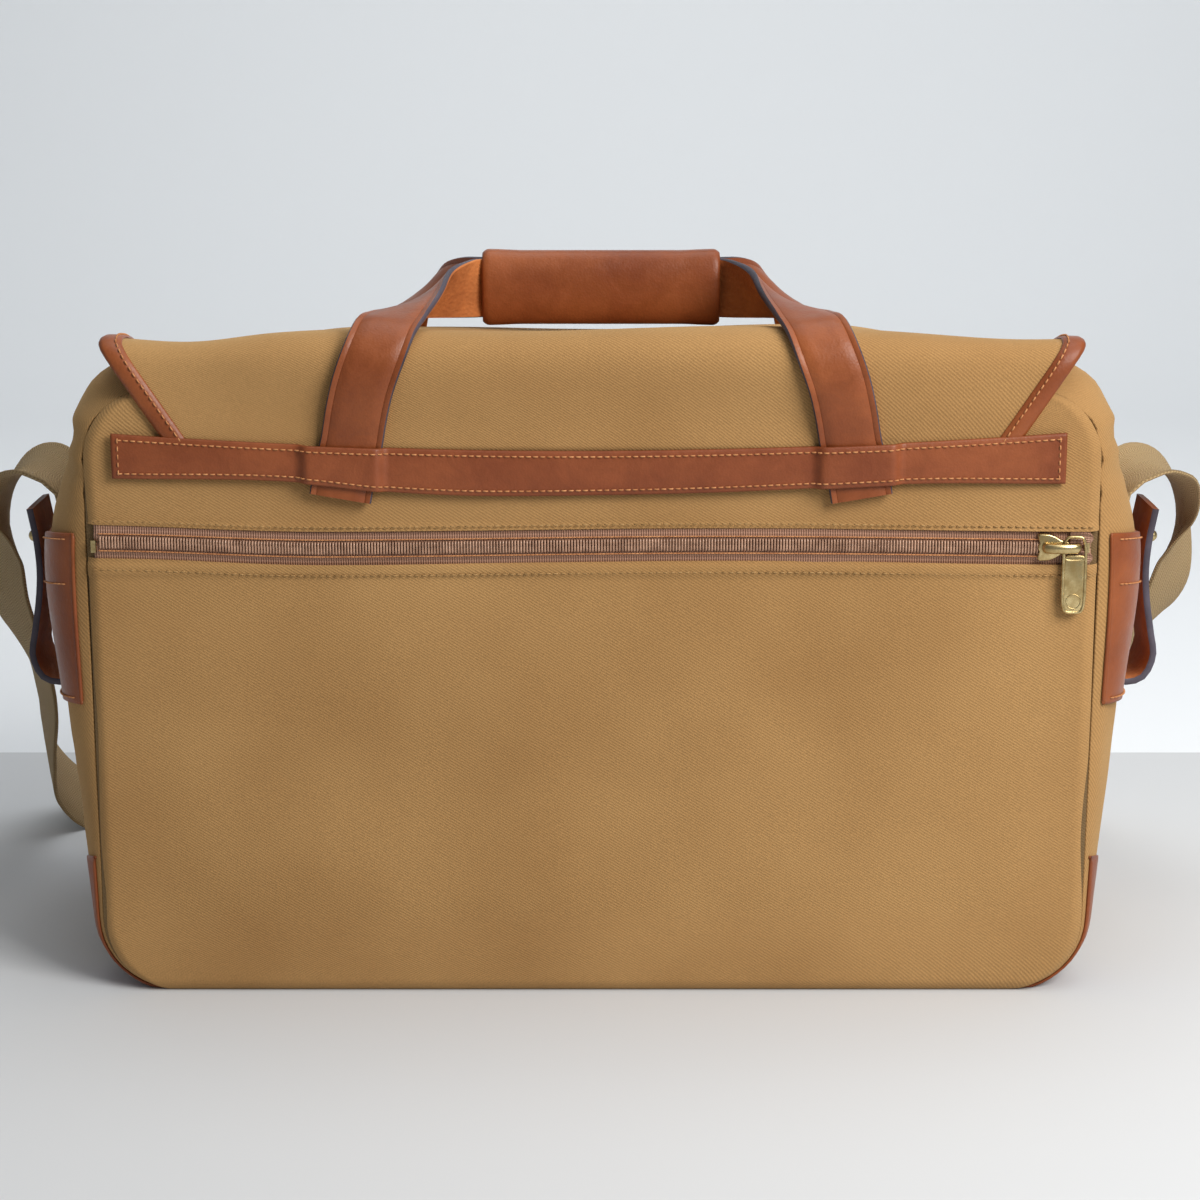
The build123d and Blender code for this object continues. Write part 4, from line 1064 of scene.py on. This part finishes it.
for side, sign in (("left", -1), ("right", 1)):
    rows = []
    for y in 0.0972 * np.sin(np.linspace(-math.pi / 2, math.pi / 2, 61)):
        low, top = float(patch_low(y)), float(patch_top(-abs(y)))
        between = np.linspace(low + 0.002, top - 0.002, 22)
        z = np.concatenate([[low, low + 0.0004], between, [top - 0.0004, top]])
        x = side_x(float(np.clip(y, -0.0968, 0.0968)), z) + 0.0026
        x[[0, -1]] -= 0.0012
        rows.append(np.stack([sign * x, 0 * z + y, z], 1))
    patch = skin(f"{side}_patch_leather", rows, tan_hide, (sign, 0, 0), thick=0.0018)
    settle(patch, "bag", "leather", f"{side}_side_patch")
    lines = []
    y = np.linspace(-0.094, 0.094, 80)
    top = patch_top(-np.abs(y))
    for z in (top - 0.003, top - 0.024, patch_low(y) + 0.003):
        x = np.array([float(side_x(float(v), float(h))) for v, h in zip(y, z)]) + 0.0027
        lines.append((np.stack([sign * x, y, z], 1), (sign, 0, 0)))
    along_lines(f"{side}_patch_stitches", lines, long_stitch, 0.0032, tan_thread, "bag", "leather")
    stations = [((sign * x, y, z), w) for (x, y, z), w in sling_stations]
    name = f"{side}_sling_leather"
    loop_piece = strap(name, stations, 0.040, strap_thick, strap_finishes, sign < 0, crease=crease_depth)
    settle(loop_piece, f"{side}_sling_body", "leather", f"{side}_sling")
for name in ("side_studs", "side_rivets", "closure_studs"):
    refinish(name, brass)
for name in ("left_chape", "right_chape", "left_closure_tip", "right_closure_tip"):
    refinish(name, tan_hide)


# ---- Shoulder strap: khaki webbing, woven with a fine chevron. It leaves each tongue, arches out behind
# the sling, twists as it falls beside the bag, and its spare length lies on the floor behind.
left_fall = (
    ((-256.0, 0.0, 212.0), (0, 1, 0)),
    ((-256.3, 0.0, 220.5), (0.1, 1, -0.15)),
    ((-262.5, 4.0, 226.0), (0.45, 0.86, -0.25)),
    ((-274.5, 15.0, 229.5), (0.7, 0.68, 0.02)),
    ((-287.0, 32.0, 225.0), (0.58, 0.66, 0.46)),
    ((-297.5, 50.0, 210.5), (0.12, 0.78, 0.6)),
    ((-303.0, 60.0, 186.0), (-0.42, 0.85, 0.33)),
    ((-305.0, 63.0, 158.0), (-0.62, 0.78, 0.1)),
    ((-300.0, 74.0, 130.0), (-0.6, 0.76, 0.25)),
    ((-297.0, 98.0, 100.0), (-0.45, 0.74, 0.5)),
    ((-301.0, 126.0, 66.0), (-0.3, 0.76, 0.58)),
    ((-303.0, 150.0, 34.0), (-0.25, 0.78, 0.58)),
    ((-290.0, 168.0, 11.0), (-0.2, 0.87, 0.4)),
    ((-262.0, 178.0, 1.8), (0, 1, 0)),
    ((-235.0, 179.0, 1.4), (0, 1, 0)),
)
floor_places = ((-150, 182), (0, 184), (140, 180), (205, 177), (230, 175))
floor_run = tuple(((x, y, 1.4), (0, 1, 0)) for x, y in floor_places)
right_fall = (
    ((252.0, 168.0, 11.0), (0.2, 0.88, 0.4)),
    ((260.0, 150.0, 38.0), (-0.06, 0.81, 0.59)),
    ((266.0, 122.0, 76.0), (0, 0.78, 0.63)),
    ((276.0, 92.0, 110.0), (0.2, 0.8, 0.55)),
    ((288.0, 70.0, 136.0), (0.6, 0.75, 0.3)),
    ((298.0, 63.0, 160.0), (0.62, 0.78, 0.1)),
    ((301.0, 60.0, 186.0), (0.42, 0.85, 0.33)),
    ((297.5, 50.0, 210.5), (-0.12, 0.78, 0.6)),
    ((287.0, 32.0, 225.0), (-0.58, 0.66, 0.46)),
    ((274.5, 15.0, 229.5), (-0.7, 0.68, 0.02)),
    ((262.5, 4.0, 226.0), (-0.45, 0.86, -0.25)),
    ((256.3, 0.0, 220.5), (-0.1, 1, -0.15)),
    ((256.0, 0.0, 212.0), (0, 1, 0)),
)
web = strap("webbing_strap", left_fall + floor_run + right_fall, 0.050, 0.0020, (web_finish,) * 3)
settle(web, "bag", "webbing", "shoulder_strap")
